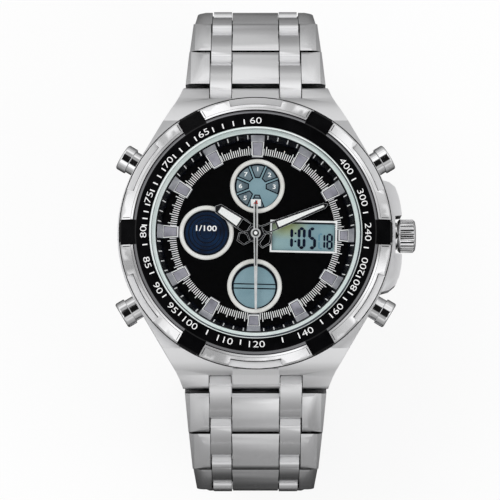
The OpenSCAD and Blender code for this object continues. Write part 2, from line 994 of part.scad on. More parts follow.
module crown_tube() {
    color(steel)
        head()
            control(0)
                difference() {
                    union() {
                        translate([0, 0, cavity_r + 0.3])
                            cylinder(r = tube_out_r, h = crown_x + crown_travel - cavity_r - 0.1);
                        translate([0, 0, case_r + 0.32])
                            cylinder(r = 2.3, h = 0.3);
                    }
                    cylinder(r = stem_r + 0.07, h = through);
                }
}

module setting_lever() {
    color(polished)
        head()
            control(0)
                difference() {
                    translate([-0.9, -1.5, stem_in + 1.1])
                        cube([1.8, 3.0, 0.5]);
                    cylinder(r = 0.36, h = module_r);
                }
}

module pusher(angle) {
    color(polished)
        head()
            control(angle) {
                difference() {
                    translate([0, 0, pusher_end - pusher_l])
                        rotate_extrude()
                            polygon([
                                [0, 0], [pusher_r, 0], [pusher_r, pusher_l - 0.2],
                                [pusher_r - 0.2, pusher_l], [0, pusher_l]
                            ]);
                    translate([0, 0, pusher_end - pusher_l - eps])
                        cylinder(r = pusher_tube_r + run_gap, h = pusher_l - pusher_face_t);
                }
                translate([0, 0, module_r + 1.3])
                    cylinder(r = pusher_stem_r, h = pusher_end - module_r - 1.7);
            }
}

module pusher_2() {
    pusher(pusher_angle);
}

module pusher_4() {
    pusher(-pusher_angle);
}

module pusher_8() {
    pusher(180 + pusher_angle);
}

module pusher_10() {
    pusher(180 - pusher_angle);
}

module pusher_tubes() {
    tube_end = pusher_end - pusher_face_t - pusher_travel - 0.1;
    color(polished)
        head()
            for (a = pusher_angles)
                control(a)
                    difference() {
                        translate([0, 0, pocket_r + wall_gap])
                            cylinder(r = pusher_tube_r, h = tube_end - pocket_r - wall_gap);
                        cylinder(r = pusher_stem_r + run_gap, h = through);
                        translate([0, 0, pocket_r + 1.0])
                            cylinder(r = 1.3, h = through);
                    }
}

// Bracelet links: u runs along the bracelet from the pivot on the case's side.

// Radius of the hollow near end of a unit's outer and centre pieces.
function near_hollow(number) = number == 1 ? lug_round + lug_gap : hollow_r;

// Side view of an outer or centre piece: hollow near end, round far end.
module plate_profile(far, near_r) {
    half = link_t / 2;
    crown_u = pitch * 3 / 4;
    arc_r = (pow(pitch / 2, 2) + pow(link_crown, 2)) / (2 * link_crown);
    difference() {
        union() {
            intersection() {
                translate([0, -half])
                    square([far ? pitch : pitch - tube_r - fork_clear, link_t + 2]);
                translate([crown_u, half + link_crown - arc_r])
                    circle(r = arc_r, $fn = 128);
            }
            if (far)
                translate([pitch, 0])
                    circle(r = knuckle_r);
        }
        circle(r = near_r);
        translate([1.2 - pitch, -link_t])
            square([pitch, 2 * link_t]);
    }
}

// Side view of a narrow piece: round near end that runs into its top, hollow far end.
module narrow_profile(far) {
    half = link_t / 2;
    crown_u = pitch / 4;
    rise = link_crown + narrow_proud;
    arc_r = (pow(pitch / 2, 2) + pow(rise, 2)) / (2 * rise);
    last = pitch - 1.2;
    difference() {
        union() {
            intersection() {
                translate([0, -half])
                    square([far ? last : pitch - tube_r - fork_clear, link_t + 2]);
                translate([crown_u, half + rise - arc_r])
                    circle(r = arc_r, $fn = 128);
            }
            intersection() {
                circle(r = hollow_r - narrow_gap);
                translate([-pitch, -half])
                    square(2 * pitch);
            }
        }
        translate([pitch, 0])
            circle(r = hollow_r);
    }
}

// Cross section of the centre pieces, with small bevels on the upper edges.
module centre_section() {
    half = link_t / 2;
    polygon([
        [-centre_half, -half], [centre_half, -half], [centre_half, half - 0.05],
        [centre_half - 0.3, half + 1], [0.3 - centre_half, half + 1], [-centre_half, half - 0.05]
    ]);
}

module along_u(u0, u1) {
    translate([0, u1, 0])
        rotate([90, 0, 0])
            linear_extrude(u1 - u0)
                children();
}

module centre_piece(number, full) {
    difference() {
        intersection() {
            along_x(-centre_half, centre_half)
                plate_profile(full, near_hollow(number));
            along_u(0, pitch + 3)
                centre_section();
        }
        cross_bore(pitch, 0, bore_seat_r);
        cross_bore(pitch / 2, 0, bore_seat_r);
    }
}

module narrow_piece(start, full) {
    difference() {
        along_x(narrow_x, narrow_x + narrow_at(start + pitch / 4))
            narrow_profile(full);
        cross_bore(0, 0, bore_run_r);
        cross_bore(pitch / 2, 0, bore_seat_r);
    }
}

module outer_piece(number, start) {
    half = link_t / 2;
    near = pitch / 4;
    far = pitch + knuckle_r;
    inner = outer_x(start + near);
    difference() {
        intersection() {
            along_x(inner, half_band(start + near))
                plate_profile(true, near_hollow(number));
            translate([0, 0, -half - 1])
                linear_extrude(link_t + 3)
                    polygon([
                        [inner, 0], [inner, far + 1],
                        [half_band(start + far), far + 1], [half_band(start + far), far],
                        [half_band(start + near), near], [half_band(start + near), 0]
                    ]);
            along_u(0, pitch + 3)
                polygon([
                    [inner, -half], [half_band(start + near), -half],
                    [half_band(start + near), half - 0.9],
                    [half_band(start + far) - 0.3, half - 0.25],
                    [inner + 0.5, half + 0.35], [inner, half + 0.2]
                ]);
        }
        cross_bore(pitch, 0, bore_seat_r);
        cross_bore(pitch / 2, 0, bore_seat_r);
    }
}

// One rigid unit of the bracelet with its two pins.
module link_unit(number, full) {
    start = (number - 1) * pitch;
    pin_half = half_band(start + pitch) - 0.25;
    color(steel)
        centre_piece(number, full);
    color(polished)
        both_sides()
            narrow_piece(start, full);
    color(steel)
        both_sides()
            outer_piece(number, start);
    color("gray") {
        if (full)
            translate([-pin_half, pitch, 0])
                rotate([0, 90, 0])
                    cylinder(r = pin_r, h = 2 * pin_half);
        translate([-pin_half, pitch / 2, 0])
            rotate([0, 90, 0])
                cylinder(r = pin_r, h = 2 * pin_half);
    }
}

// Places a unit on the twelve o'clock half of the closed bracelet.
module in_loop(number) {
    translate([0, lug_y + along(number - 1), lug_z - below(number - 1)])
        rotate([-slopes[number - 1], 0, 0])
            children();
}

module link_12(number) {
    in_loop(number)
        link_unit(number, number < links);
}

module link_6(number) {
    mirror([0, 1, 0])
        in_loop(number)
            link_unit(number, true);
}

// Clasp, drawn in place: y along it, height from its outer face.

module clasp_eye(x0, x1, at, r) {
    along_x(x0, x1)
        translate(at)
            circle(r = r);
}

module clasp_cover() {
    half = clasp_w / 2;
    begin = hollow_r + 0.05 - clasp_y;
    finish = hinge_1[0] + 1.1;
    notch = hinge_1[0] - eye_r - 0.25;
    color(steel)
        difference() {
            union() {
                along_x(-half, half)
                    polygon([
                        [begin, 0.35], [begin + 1.2, 0], [finish - 1.0, 0],
                        [finish, 0.35], [finish, cover_t], [begin, cover_t]
                    ]);
                both_sides()
                    along_x(inside_half, half)
                        polygon([
                            [begin, cover_t - eps], [finish, cover_t - eps],
                            [finish + 0.1, hinge_1[1] + 1.2], [finish - 1.2, cover_h],
                            [begin + 1.5, cover_h], [begin, cover_h - 1.2]
                        ]);
                both_sides()
                    along_x(narrow_x, narrow_x + narrow_end_w) {
                        translate([-clasp_y, clasp_pivot_h])
                            circle(r = knuckle_r);
                        polygon([
                            [-clasp_y, clasp_pivot_h - knuckle_r], [begin, 0.6],
                            [begin + 1, cover_t], [begin + 1, cover_t + 1],
                            [-clasp_y, clasp_pivot_h + knuckle_r]
                        ]);
                    }
            }
            translate([-inside_half, notch, -eps])
                cube([2 * inside_half, clasp_l, cover_t + 2 * eps]);
            cross_bore(-clasp_y, clasp_pivot_h, bore_run_r);
            cross_bore(hinge_1[0], hinge_1[1], clasp_pin_r + run_gap);
            cross_bore(button_y, button_z, button_r + run_gap);
        }
}

module clasp_middle_leaf() {
    color(polished)
        difference() {
            union() {
                along_x(-leaf_half_w, leaf_half_w)
                    translate([hinge_2[0], middle_h])
                        square([hinge_1[0] - hinge_2[0], leaf_t]);
                clasp_eye(0.2 - inside_half, inside_half - 0.2, hinge_1, eye_r);
                both_sides()
                    clasp_eye(eye_half_l + 0.15, leaf_half_w, hinge_2, eye_r);
            }
            translate([-eye_half_l - 0.1, hinge_2[0] - 3, 0])
                cube([2 * eye_half_l + 0.2, 3 + eye_r + 0.2, cover_h]);
            cross_bore(hinge_1[0], hinge_1[1], clasp_pin_r + seat_gap);
            cross_bore(hinge_2[0], hinge_2[1], clasp_pin_r + seat_gap);
            translate([-2.2, hinge_2[0] + 5, 0])
                cube([4.4, hinge_1[0] - hinge_2[0] - 9, cover_h]);
        }
}

module clasp_inner_leaf() {
    color(polished)
        difference() {
            union() {
                along_x(-leaf_half_w, leaf_half_w)
                    translate([hinge_2[0] + eye_r + 0.2, inner_h])
                        square([clasp_y - hinge_2[0] - eye_r - 0.2, leaf_t]);
                along_x(-eye_half_l, eye_half_l)
                    translate([hinge_2[0], inner_h])
                        square([3, leaf_t]);
                clasp_eye(-eye_half_l, eye_half_l, hinge_2, eye_r);
                clasp_eye(-leaf_half_w, leaf_half_w, [clasp_y, clasp_pivot_h], tube_r);
            }
            cross_bore(hinge_2[0], hinge_2[1], clasp_pin_r + run_gap);
            cross_bore(clasp_y, clasp_pivot_h, bar_r + seat_gap);
        }
}

module clasp_spring_bar() {
    color("gray") {
        translate([0, clasp_y, clasp_pivot_h])
            rotate([0, 90, 0])
                translate([0, 0, 0.4 - leaf_half_w])
                    cylinder(r = bar_r, h = 2 * leaf_half_w - 0.8);
    }
}

module clasp_hinge_pins() {
    color("gray") {
        clasp_eye(0.1 - clasp_w / 2, clasp_w / 2 - 0.1, hinge_1, clasp_pin_r);
        clasp_eye(0.05 - leaf_half_w, leaf_half_w - 0.05, hinge_2, clasp_pin_r);
    }
}

module clasp_button() {
    translate([inside_half - 0.5, button_y, button_z])
        rotate([0, 90, 0]) {
            cylinder(r = button_r, h = cover_wall + button_travel + 0.6);
            cylinder(r = button_r + 0.2, h = 0.45);
        }
}

module clasp_button_right() {
    color(polished)
        clasp_button();
}

module clasp_button_left() {
    color(polished)
        mirror([1, 0, 0])
            clasp_button();
}

case();
case_back();
case_back_screws();
case_back_gasket();
bezel();
bezel_ring();
crystal();
crystal_gasket();
chapter_ring();
dial();
hour_markers();
subdial_rings();
lcd_frame();
lcd_panel();
hour_hand();
hour_pipe();
minute_hand();
minute_pipe();
second_hand();
second_staff();
main_plate();
movement_module();
movement_ring();
circuit_board();
battery();
battery_strap();
coil();
crown();
stem();
crown_tube();
setting_lever();
pusher_2();
pusher_4();
pusher_8();
pusher_10();
pusher_tubes();
lug_pins();
for (i = [1 : links]) {
    link_12(i);
    link_6(i);
}
clasp_cover();
clasp_middle_leaf();
clasp_inner_leaf();
clasp_hinge_pins();
clasp_spring_bar();
clasp_button_left();
clasp_button_right();
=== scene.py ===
"""A steel bracelet watch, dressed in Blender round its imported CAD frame.

The frame gives every place and size. This script adds the finishes, softened edges,
printed scales, display figures and luminous fillings, and the studio round them.
Lengths are in millimetres where MM turns them into the scene's metres.
"""
import json
import math

import bmesh
import bpy
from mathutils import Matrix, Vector
from mathutils.bvhtree import BVHTree

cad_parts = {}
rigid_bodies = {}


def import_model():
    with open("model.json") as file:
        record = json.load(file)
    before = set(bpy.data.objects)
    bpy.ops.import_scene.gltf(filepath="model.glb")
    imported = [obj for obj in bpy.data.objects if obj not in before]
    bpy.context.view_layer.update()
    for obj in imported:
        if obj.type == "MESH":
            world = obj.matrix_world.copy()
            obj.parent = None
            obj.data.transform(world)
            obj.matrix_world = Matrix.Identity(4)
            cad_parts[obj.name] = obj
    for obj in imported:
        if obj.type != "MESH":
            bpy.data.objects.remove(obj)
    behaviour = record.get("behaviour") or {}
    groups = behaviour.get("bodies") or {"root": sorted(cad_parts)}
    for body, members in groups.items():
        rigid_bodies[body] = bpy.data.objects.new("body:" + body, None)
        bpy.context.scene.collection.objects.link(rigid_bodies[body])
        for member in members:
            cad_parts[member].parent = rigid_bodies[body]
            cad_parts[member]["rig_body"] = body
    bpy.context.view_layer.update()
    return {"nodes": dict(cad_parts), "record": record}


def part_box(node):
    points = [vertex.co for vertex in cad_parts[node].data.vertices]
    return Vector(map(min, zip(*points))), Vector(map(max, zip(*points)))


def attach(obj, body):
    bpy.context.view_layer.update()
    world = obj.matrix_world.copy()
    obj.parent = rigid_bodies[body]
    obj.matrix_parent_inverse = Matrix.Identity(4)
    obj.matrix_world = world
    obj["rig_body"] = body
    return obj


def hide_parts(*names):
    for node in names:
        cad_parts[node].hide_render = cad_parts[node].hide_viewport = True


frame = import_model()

MM = 0.001

# Heights taken from the frame, in metres
DIAL_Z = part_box("dial")[1].z
PANEL_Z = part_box("lcd_panel")[1].z
SCALE_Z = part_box("bezel_ring")[1].z

# The layout of the solids that are dressed, in millimetres and clock degrees
DIAL_TURN = 1.3
SLOPE_FOOT_R, SLOPE_TOP_R, SLOPE_RISE = 15.7, 16.7, 1.62
# Hour markers: inner radius, also of the two shorter ones, end widths and thickness
MARKER_IN_R, SHORT_MARKER_IN_R = 12.95, {3: 13.87, 6: 13.6}
MARKER_IN_W, MARKER_OUT_W, MARKER_T = 1.8, 2.35, 0.4
# Displays: centres and radius of the round windows, and the rectangular frame
TOP_RING, LEFT_RING, LOW_RING = (0.1, 8.1), (-8.3, 0.0), (0.0, -8.85)
WINDOW_R = 3.87
LCD_AT, LCD_W, LCD_H, LCD_BAR = (8.07, -0.3), 11.3, 5.46, 0.3
# Ends of the bezel's slope, as radius and drop below the scale, and half a tab's width
BEZEL_IN, BEZEL_OUT = (21.05, 0.1), (22.55, 0.65)
TAB_HALF = 2.1
SEAL_IN_R = 17.46
# Hands: clock angle, and half width and radius at the recess's inner and outer end
HAND_AT = {"hour": 304, "minute": 68}
HAND_RECESS = {"hour": (0.81, 3.35, 0.61, 7.35), "minute": (0.57, 3.95, 0.23, 12.45)}
RECESS_DEPTH = 0.08
CROWN_FLUTES, FLUTE_DEPTH = 24, 0.15

PRINT_T = 0.03


# Shader nodes. Their helpers take the node tree of a material or of the world.

BLACK = (0.0, 0.0, 0.0)


def feed(tree, socket, value):
    """Wires another node's output to a socket, or gives the socket a plain value."""
    if isinstance(value, bpy.types.NodeSocket):
        tree.links.new(value, socket)
    else:
        socket.default_value = value


def added(tree, kind, **inputs):
    """A new shader node of a kind, with its inputs fed."""
    node = tree.nodes.new("ShaderNode" + kind)
    for key, value in inputs.items():
        feed(tree, node.inputs[key.replace("_", " ")], value)
    return node


def wire(tree, value, socket):
    """Feeds a socket of the material's own shader."""
    feed(tree, tree.nodes["Principled BSDF"].inputs[socket], value)


def base_colour(tree):
    """What feeds the shader's colour so far."""
    return tree.nodes["Principled BSDF"].inputs["Base Color"].links[0].from_socket


def own_place(tree):
    """The object's own coordinates."""
    return added(tree, "TexCoord").outputs["Object"]


def maths(tree, operation, first, second):
    """Two values joined by an operation."""
    node = added(tree, "Math")
    node.operation = operation
    feed(tree, node.inputs[0], first)
    feed(tree, node.inputs[1], second)
    return node.outputs["Value"]


def blended(tree, share, low, high):
    """A colour mixed from two, each a tone or another node's output."""
    mix = added(tree, "Mix")
    mix.data_type = "RGBA"
    feed(tree, mix.inputs["Factor"], share)
    for socket, colour in ((mix.inputs["A"], low), (mix.inputs["B"], high)):
        feed(tree, socket, (*colour, 1) if isinstance(colour, tuple) else colour)
    return mix.outputs["Result"]


def mixed(tree, share, first, second):
    """One shader, with a share of another mixed in."""
    mix = added(tree, "MixShader", Fac=share)
    feed(tree, mix.inputs[1], first)
    feed(tree, mix.inputs[2], second)
    return mix.outputs["Shader"]


def noise(tree, scale, stretch=(1, 1, 1), detail=4.0):
    """A noise texture over the object's own coordinates, its scale in waves per metre."""
    mapping = added(
        tree, "Mapping", Vector=own_place(tree), Scale=[scale * s for s in stretch],
    )
    texture = added(tree, "TexNoise", Vector=mapping.outputs["Vector"], Scale=1.0, Detail=detail)
    return texture.outputs["Fac"]


def ranged(tree, value, low, high, start=0.3, end=0.7):
    """Spreads a value's stretch, by default the middle of a texture's, between two results."""
    return added(
        tree, "MapRange", Value=value, From_Min=start, From_Max=end, To_Min=low, To_Max=high,
    ).outputs["Result"]


def tinted(tree, value, dark, light):
    """A colour that wanders between two tones with a texture."""
    node = added(tree, "ValToRGB", Fac=value)
    ends = node.color_ramp.elements
    ends[0].position, ends[0].color = 0.3, (*dark, 1)
    ends[1].position, ends[1].color = 0.7, (*light, 1)
    return node.outputs["Color"]


def creviced(tree, colour, reach, shut=0.2, clear=0.52):
    """Darkens a colour with painted shade from ambient occlusion, in joints narrower than a
    reach.
    """
    open_share = added(tree, "AmbientOcclusion", Distance=reach * MM)
    open_share.samples = 8
    shade = ranged(tree, open_share.outputs["AO"], 0.0, 1.0, shut, clear)
    return blended(tree, shade, BLACK, colour)


def bumped(tree, value, strength, height):
    """Turns a value into relief, height in metres."""
    return added(
        tree, "Bump", Height=value, Strength=strength, Distance=height,
    ).outputs["Normal"]


# Materials

GRAIN_HEIGHT = 0.02 * MM
ALONG = "along"


def material(name, colour, roughness, metallic=0.0, **sockets):
    """A Principled material. What is the same all over sits on the shader's own sockets."""
    made = bpy.data.materials.new(name)
    made.use_nodes = True
    tree = made.node_tree
    wire(tree, (*colour, 1), "Base Color")
    wire(tree, roughness, "Roughness")
    wire(tree, metallic, "Metallic")
    for key, value in sockets.items():
        wire(tree, value, key.replace("_", " "))
    return made


def metal(name, tone, rough_low, rough_high, scale, stretch, reach=0.0, relief=0.0, **limits):
    """Steel or brass with a grain along the axes that stretch leaves low. Given a reach, its
    joints get painted shade.
    """
    made = material(name, tone, rough_low, 1.0)
    tree = made.node_tree
    grain = noise(tree, scale, stretch, 6.0)
    colour = tinted(tree, grain, [0.97 * c for c in tone], tone)
    # Painted shade in joints, from ambient occlusion
    if reach:
        colour = creviced(tree, colour, reach, **limits)
    wire(tree, colour, "Base Color")
    wire(tree, ranged(tree, grain, rough_low, rough_high), "Roughness")
    if relief:
        wire(tree, bumped(tree, grain, relief, GRAIN_HEIGHT), "Normal")
    return made


def coloured(name, dark, light, roughness, scale=900.0, relief=0.0, **sockets):
    """Paint, plastic or rubber, whose tone and relief wander a little."""
    made = material(name, light, roughness, **sockets)
    tree = made.node_tree
    cloud = noise(tree, scale)
    wire(tree, tinted(tree, cloud, dark, light), "Base Color")
    if relief:
        wire(tree, bumped(tree, cloud, relief, GRAIN_HEIGHT), "Normal")
    return made


def display_paint(name, dark, light, scale=420, roughness=0.4):
    """Paint of the displays, with hardly any gloss."""
    return coloured(name, dark, light, roughness, scale, Specular_IOR_Level=0.15)


def crowned(made, curve):
    """Bends a finish's shading, as if the links' tops were more domed along the bracelet."""
    tree = made.node_tree
    along = added(tree, "Attribute")
    along.attribute_name = ALONG
    square = maths(tree, "MULTIPLY", along.outputs["Fac"], along.outputs["Fac"])
    dome = maths(tree, "MULTIPLY", square, -curve)
    wire(tree, bumped(tree, dome, 1.0, MM), "Normal")


def dulled(made, share, start, end):
    """Darkens a finish with painted shade, to a share of its tone between two places towards
    twelve o'clock.
    """
    tree = made.node_tree
    axes = added(tree, "SeparateXYZ", Vector=own_place(tree))
    shade = ranged(tree, axes.outputs["Y"], 1.0, share, start * MM, end * MM)
    wire(tree, blended(tree, shade, BLACK, base_colour(tree)), "Base Color")


def warmed(made, centre, radii, warm):
    """Mixes a tone into a finish round a point, fading out at a radius along each axis."""
    tree = made.node_tree
    mapping = added(
        tree, "Mapping", Vector=own_place(tree),
        Location=[-c / r for c, r in zip(centre, radii)],
        Scale=[1 / (r * MM) for r in radii],
    )
    blob = added(tree, "TexGradient", Vector=mapping.outputs["Vector"])
    blob.gradient_type = "SPHERICAL"
    wire(tree, blended(tree, blob.outputs["Fac"], base_colour(tree), warm), "Base Color")


def bare(name):
    """A material without a shader, and its node tree."""
    made = bpy.data.materials.new(name)
    made.use_nodes = True
    tree = made.node_tree
    tree.nodes.remove(tree.nodes["Principled BSDF"])
    return made, tree


def glass(name):
    """Coated crystal: clear, with a faint gloss that grows towards the edges."""
    made, tree = bare(name)
    clear = added(tree, "BsdfTransparent", Color=(0.985, 0.99, 0.99, 1))
    gloss = added(tree, "BsdfGlossy", Roughness=0.03)
    fresnel = added(tree, "Fresnel", IOR=1.1)
    coated = mixed(tree, fresnel.outputs["Fac"], clear.outputs["BSDF"], gloss.outputs["BSDF"])
    feed(tree, tree.nodes["Material Output"].inputs["Surface"], coated)
    return made


# Metals. Brushed ones have their grain across the bracelet.
ACROSS = (1, 0.02, 0.02)
EVEN = (1, 1, 1)
brushed = metal("brushed_steel", (0.77, 0.77, 0.78), 0.22, 0.26, 16000, ACROSS, 3.0)
case_steel = metal("case_steel", (0.96, 0.96, 0.97), 0.40, 0.44, 16000, ACROSS, 3.0)
matt = metal("matt_steel", (0.90, 0.90, 0.91), 0.62, 0.68, 16000, ACROSS, 2.0)
satin = metal("satin_steel", (0.82, 0.82, 0.83), 0.16, 0.19, 16000, ACROSS, 0.6)
knuckle = metal("knuckle_steel", (0.80, 0.80, 0.81), 0.62, 0.68, 16000, ACROSS, 0.6)
ridged = metal(
    "ridged_steel", (0.97, 0.97, 0.98), 0.14, 0.18, 700, EVEN, 0.4, shut=0.35, clear=0.75,
)
polished = metal("polished_steel", (0.85, 0.85, 0.86), 0.06, 0.10, 700, EVEN, 1.0)
dark_steel = metal("dark_steel", (0.22, 0.22, 0.23), 0.12, 0.2, 700, EVEN)
hand_edge = metal("hand_edge_steel", (0.80, 0.80, 0.82), 0.25, 0.35, 900, EVEN)
pin_metal = metal("pin_steel", (0.55, 0.55, 0.56), 0.25, 0.35, 2500, ACROSS, 0.8)
brass = metal("brass", (0.72, 0.53, 0.27), 0.25, 0.38, 1200, EVEN)
cell_metal = metal("cell_steel", (0.70, 0.70, 0.70), 0.2, 0.3, 3000, ACROSS)
copper = metal(
    "copper_wire", (0.72, 0.32, 0.15), 0.25, 0.4, 9000, (1, 0.05, 0.05), relief=0.4,
)
crowned(brushed, 0.011)
crowned(satin, 0.011)
# Painted shade: the case's finishes darken towards twelve o'clock
dulled(case_steel, 0.75, -10, 22)
dulled(matt, 0.68, 2, 20)

# Paints and prints of the dial, its ring, markers and hands
hand_light = coloured(
    "hand_silver", (0.66, 0.66, 0.66), (0.80, 0.80, 0.80), 0.3, 900, Metallic=0.2,
)
marker_metal = coloured(
    "marker_silver", (0.30, 0.30, 0.33), (0.62, 0.62, 0.66), 0.25, 420, Metallic=0.3,
)
gloss_black = coloured(
    "black_scale", (0.0012, 0.0012, 0.0015), (0.0035, 0.0035, 0.004), 0.16, 400,
    Specular_IOR_Level=0.22,
)
slope_black = coloured(
    "slope_black", (0.001, 0.001, 0.002), (0.004, 0.005, 0.009), 0.25, 220,
    Specular_IOR_Level=0.3,
)
# Painted dark reflection on the flats of the polished steel hands
painted_hand_reflection = coloured(
    "painted_hand_reflection", (0.004, 0.004, 0.005), (0.012, 0.012, 0.014), 0.25, 700,
    Specular_IOR_Level=0.3,
)
dial_black = coloured(
    "dial_black", (0.0008, 0.0008, 0.001), (0.0018, 0.0018, 0.0022), 0.5, 2500, 0.1,
    Specular_IOR_Level=0.03,
)
ink_white = coloured("white_print", (0.88, 0.88, 0.88), (0.96, 0.96, 0.96), 0.55, 4000)
ring_cream = coloured("frame_silver", (0.72, 0.70, 0.66), (0.92, 0.91, 0.89), 0.3, 260)
frame_white = coloured("frame_white", (0.84, 0.84, 0.84), (0.93, 0.93, 0.93), 0.35, 700)
lume_white = coloured("lume_white", (0.88, 0.88, 0.87), (0.95, 0.95, 0.94), 0.6, 3500, 0.15)
lume_grey = coloured("lume_grey", (0.17, 0.165, 0.20), (0.42, 0.41, 0.47), 0.5, 420, 0.1)
groove_black = coloured("groove_black", (0.001, 0.001, 0.001), (0.003, 0.003, 0.004), 0.5, 1500)
# Painted shade for the bottoms of the crown's flutes
painted_flute_shade = coloured("flute_shade", (0.004, 0.004, 0.004), (0.02, 0.02, 0.02), 0.6, 1500)
day_red = coloured("day_red", (0.42, 0.02, 0.02), (0.55, 0.05, 0.04), 0.5, 900)

# Displays
display_pale = display_paint("display_pale", (0.19, 0.31, 0.36), (0.25, 0.37, 0.42), 300)
lcd_green = display_paint("lcd_green", (0.20, 0.32, 0.37), (0.30, 0.44, 0.45), 160, 0.35)
wedge_grey = display_paint("wedge_grey", (0.06, 0.09, 0.11), (0.22, 0.29, 0.33))
display_navy = display_paint("display_navy", (0.001, 0.006, 0.022), (0.002, 0.022, 0.070))
navy_line = display_paint("navy_line", (0.001, 0.002, 0.007), (0.002, 0.004, 0.012), 320)
display_ink = display_paint("display_ink", (0.001, 0.003, 0.012), (0.003, 0.008, 0.030), 900)
ghost_ink = display_paint("ghost_ink", (0.09, 0.22, 0.30), (0.12, 0.27, 0.35), 900)
warmed(lcd_green, (5.0, 1.6, DIAL_Z / MM), (4.2, 2.6, 5.0), (0.42, 0.46, 0.16))

# Seals, crystal and movement
clear_seal = coloured("clear_gasket", (0.78, 0.88, 0.86), (0.93, 0.97, 0.96), 0.35, 200)
# Painted dark reflection for the seal's inner edge
painted_seal_reflection = coloured("painted_seal_reflection", (0.015, 0.02, 0.03), (0.05, 0.06, 0.08), 0.3, 200)
rubber = coloured("rubber_seal", (0.010, 0.010, 0.010), (0.020, 0.020, 0.020), 0.7, 1500, 0.3)
crystal_glass = glass("crystal_glass")
module_black = coloured(
    "module_plastic", (0.018, 0.020, 0.022), (0.035, 0.038, 0.042), 0.5, 1200,
)
holder_white = coloured("holder_plastic", (0.70, 0.70, 0.66), (0.80, 0.80, 0.76), 0.5, 1200)
board_green = coloured("board_green", (0.010, 0.075, 0.025), (0.020, 0.120, 0.045), 0.4, 1500)


# Outlines, as lists of points in millimetres

def clock(radius, degrees):
    """The point at a radius and a clock angle, twelve being up."""
    a = math.radians(degrees)
    return radius * math.sin(a), radius * math.cos(a)


def turned(points, degrees):
    """Points drawn for twelve o'clock, turned clockwise about the dial's middle."""
    a = math.radians(degrees)
    return [
        (x * math.cos(a) + y * math.sin(a), y * math.cos(a) - x * math.sin(a))
        for x, y in points
    ]


def moved(points, by):
    return [(x + by[0], y + by[1]) for x, y in points]


def on_dial(shape, centre=(0.0, 0.0)):
    """A shape drawn about a display's centre, moved there and turned with the dial."""
    return turned(moved(shape, centre), DIAL_TURN)


def disc(radius, count=64):
    return [clock(radius, -360 * i / count) for i in range(count)]


def bar(x0, y0, x1, y1):
    return [(x0, y0), (x1, y0), (x1, y1), (x0, y1)]


def radial_tick(degrees, inner, outer, width):
    half = width / 2
    return turned(bar(-half, inner, half, outer), degrees)


def inset(points, by):
    """A convex outline, listed anticlockwise, drawn in by a distance."""
    count = len(points)
    lines = []
    for i in range(count):
        a, b = Vector(points[i]), Vector(points[(i + 1) % count])
        along = (b - a).normalized()
        lines.append((a + Vector((-along.y, along.x)) * by, along))
    made = []
    for i in range(count):
        (p, d), (q, e) = lines[i - 1], lines[i]
        cross = d.x * e.y - d.y * e.x
        step = ((q - p).x * e.y - (q - p).y * e.x) / cross
        made.append(tuple(p + d * step))
    return made


# Mesh helpers

SHARP = math.radians(28)


def piece(name, bm, finish, body):
    """Makes a mesh object from bmesh data and gives it to a body."""
    bmesh.ops.recalc_face_normals(bm, faces=bm.faces)
    mesh = bpy.data.meshes.new(name)
    bm.to_mesh(mesh)
    bm.free()
    made = bpy.data.objects.new(name, mesh)
    bpy.context.scene.collection.objects.link(made)
    for entry in finish if isinstance(finish, list) else [finish]:
        mesh.materials.append(entry)
    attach(made, body)
    return made


def smoothed(made):
    """Shades a piece smooth between its sharp edges."""
    for face in made.data.polygons:
        face.use_smooth = True
    made.data.set_sharp_from_angle(angle=SHARP)


def flat(z):
    """A base for prisms: the same height, in metres, everywhere."""
    return lambda x, y: z


def add_prism(bm, outline, base, thickness, hole=None):
    """A thin upright prism. Given an inner outline of as many points, it is a closed frame."""
    def level(points, rise):
        return [bm.verts.new((x * MM, y * MM, base(x, y) + rise * MM)) for x, y in points]

    low, high = level(outline, 0.0), level(outline, thickness)
    count = len(outline)
    faces = []
    for i in range(count):
        j = (i + 1) % count
        faces.append((low[i], low[j], high[j], high[i]))
    if hole is None:
        faces += [tuple(high), tuple(reversed(low))]
    else:
        low_in, high_in = level(hole, 0.0), level(hole, thickness)
        for i in range(count):
            j = (i + 1) % count
            faces.append((high[i], high[j], high_in[j], high_in[i]))
            faces.append((low[j], low[i], low_in[i], low_in[j]))
            faces.append((low_in[j], low_in[i], high_in[i], high_in[j]))
    for verts in faces:
        bm.faces.new(verts)


def prisms(name, shapes, base, finish, body="head", thickness=PRINT_T):
    """One mesh of thin prisms. A shape is an outline, or an (outer, inner) pair of outlines."""
    bm = bmesh.new()
    for shape in shapes:
        if isinstance(shape, tuple):
            add_prism(bm, shape[0], base, thickness, shape[1])
        else:
            add_prism(bm, shape, base, thickness)
    return piece(name, bm, finish, body)


def islands(bm):
    """The separate closed shells of a mesh, as lists of faces."""
    seen, groups = set(), []
    for start in bm.faces:
        if start in seen:
            continue
        seen.add(start)
        group, queue = [], [start]
        while queue:
            face = queue.pop()
            group.append(face)
            for edge in face.edges:
                for other in edge.link_faces:
                    if other not in seen:
                        seen.add(other)
                        queue.append(other)
        groups.append(group)
    return groups


def rejoined(source):
    """A CAD node's mesh with its flat faces made whole again."""
    bm = bmesh.new()
    bm.from_mesh(source.data)
    bmesh.ops.remove_doubles(bm, verts=bm.verts, dist=0.002 * MM)
    bmesh.ops.dissolve_limit(
        bm, angle_limit=math.radians(0.5), verts=bm.verts, edges=bm.edges, delimit={"NORMAL"},
    )
    return bm


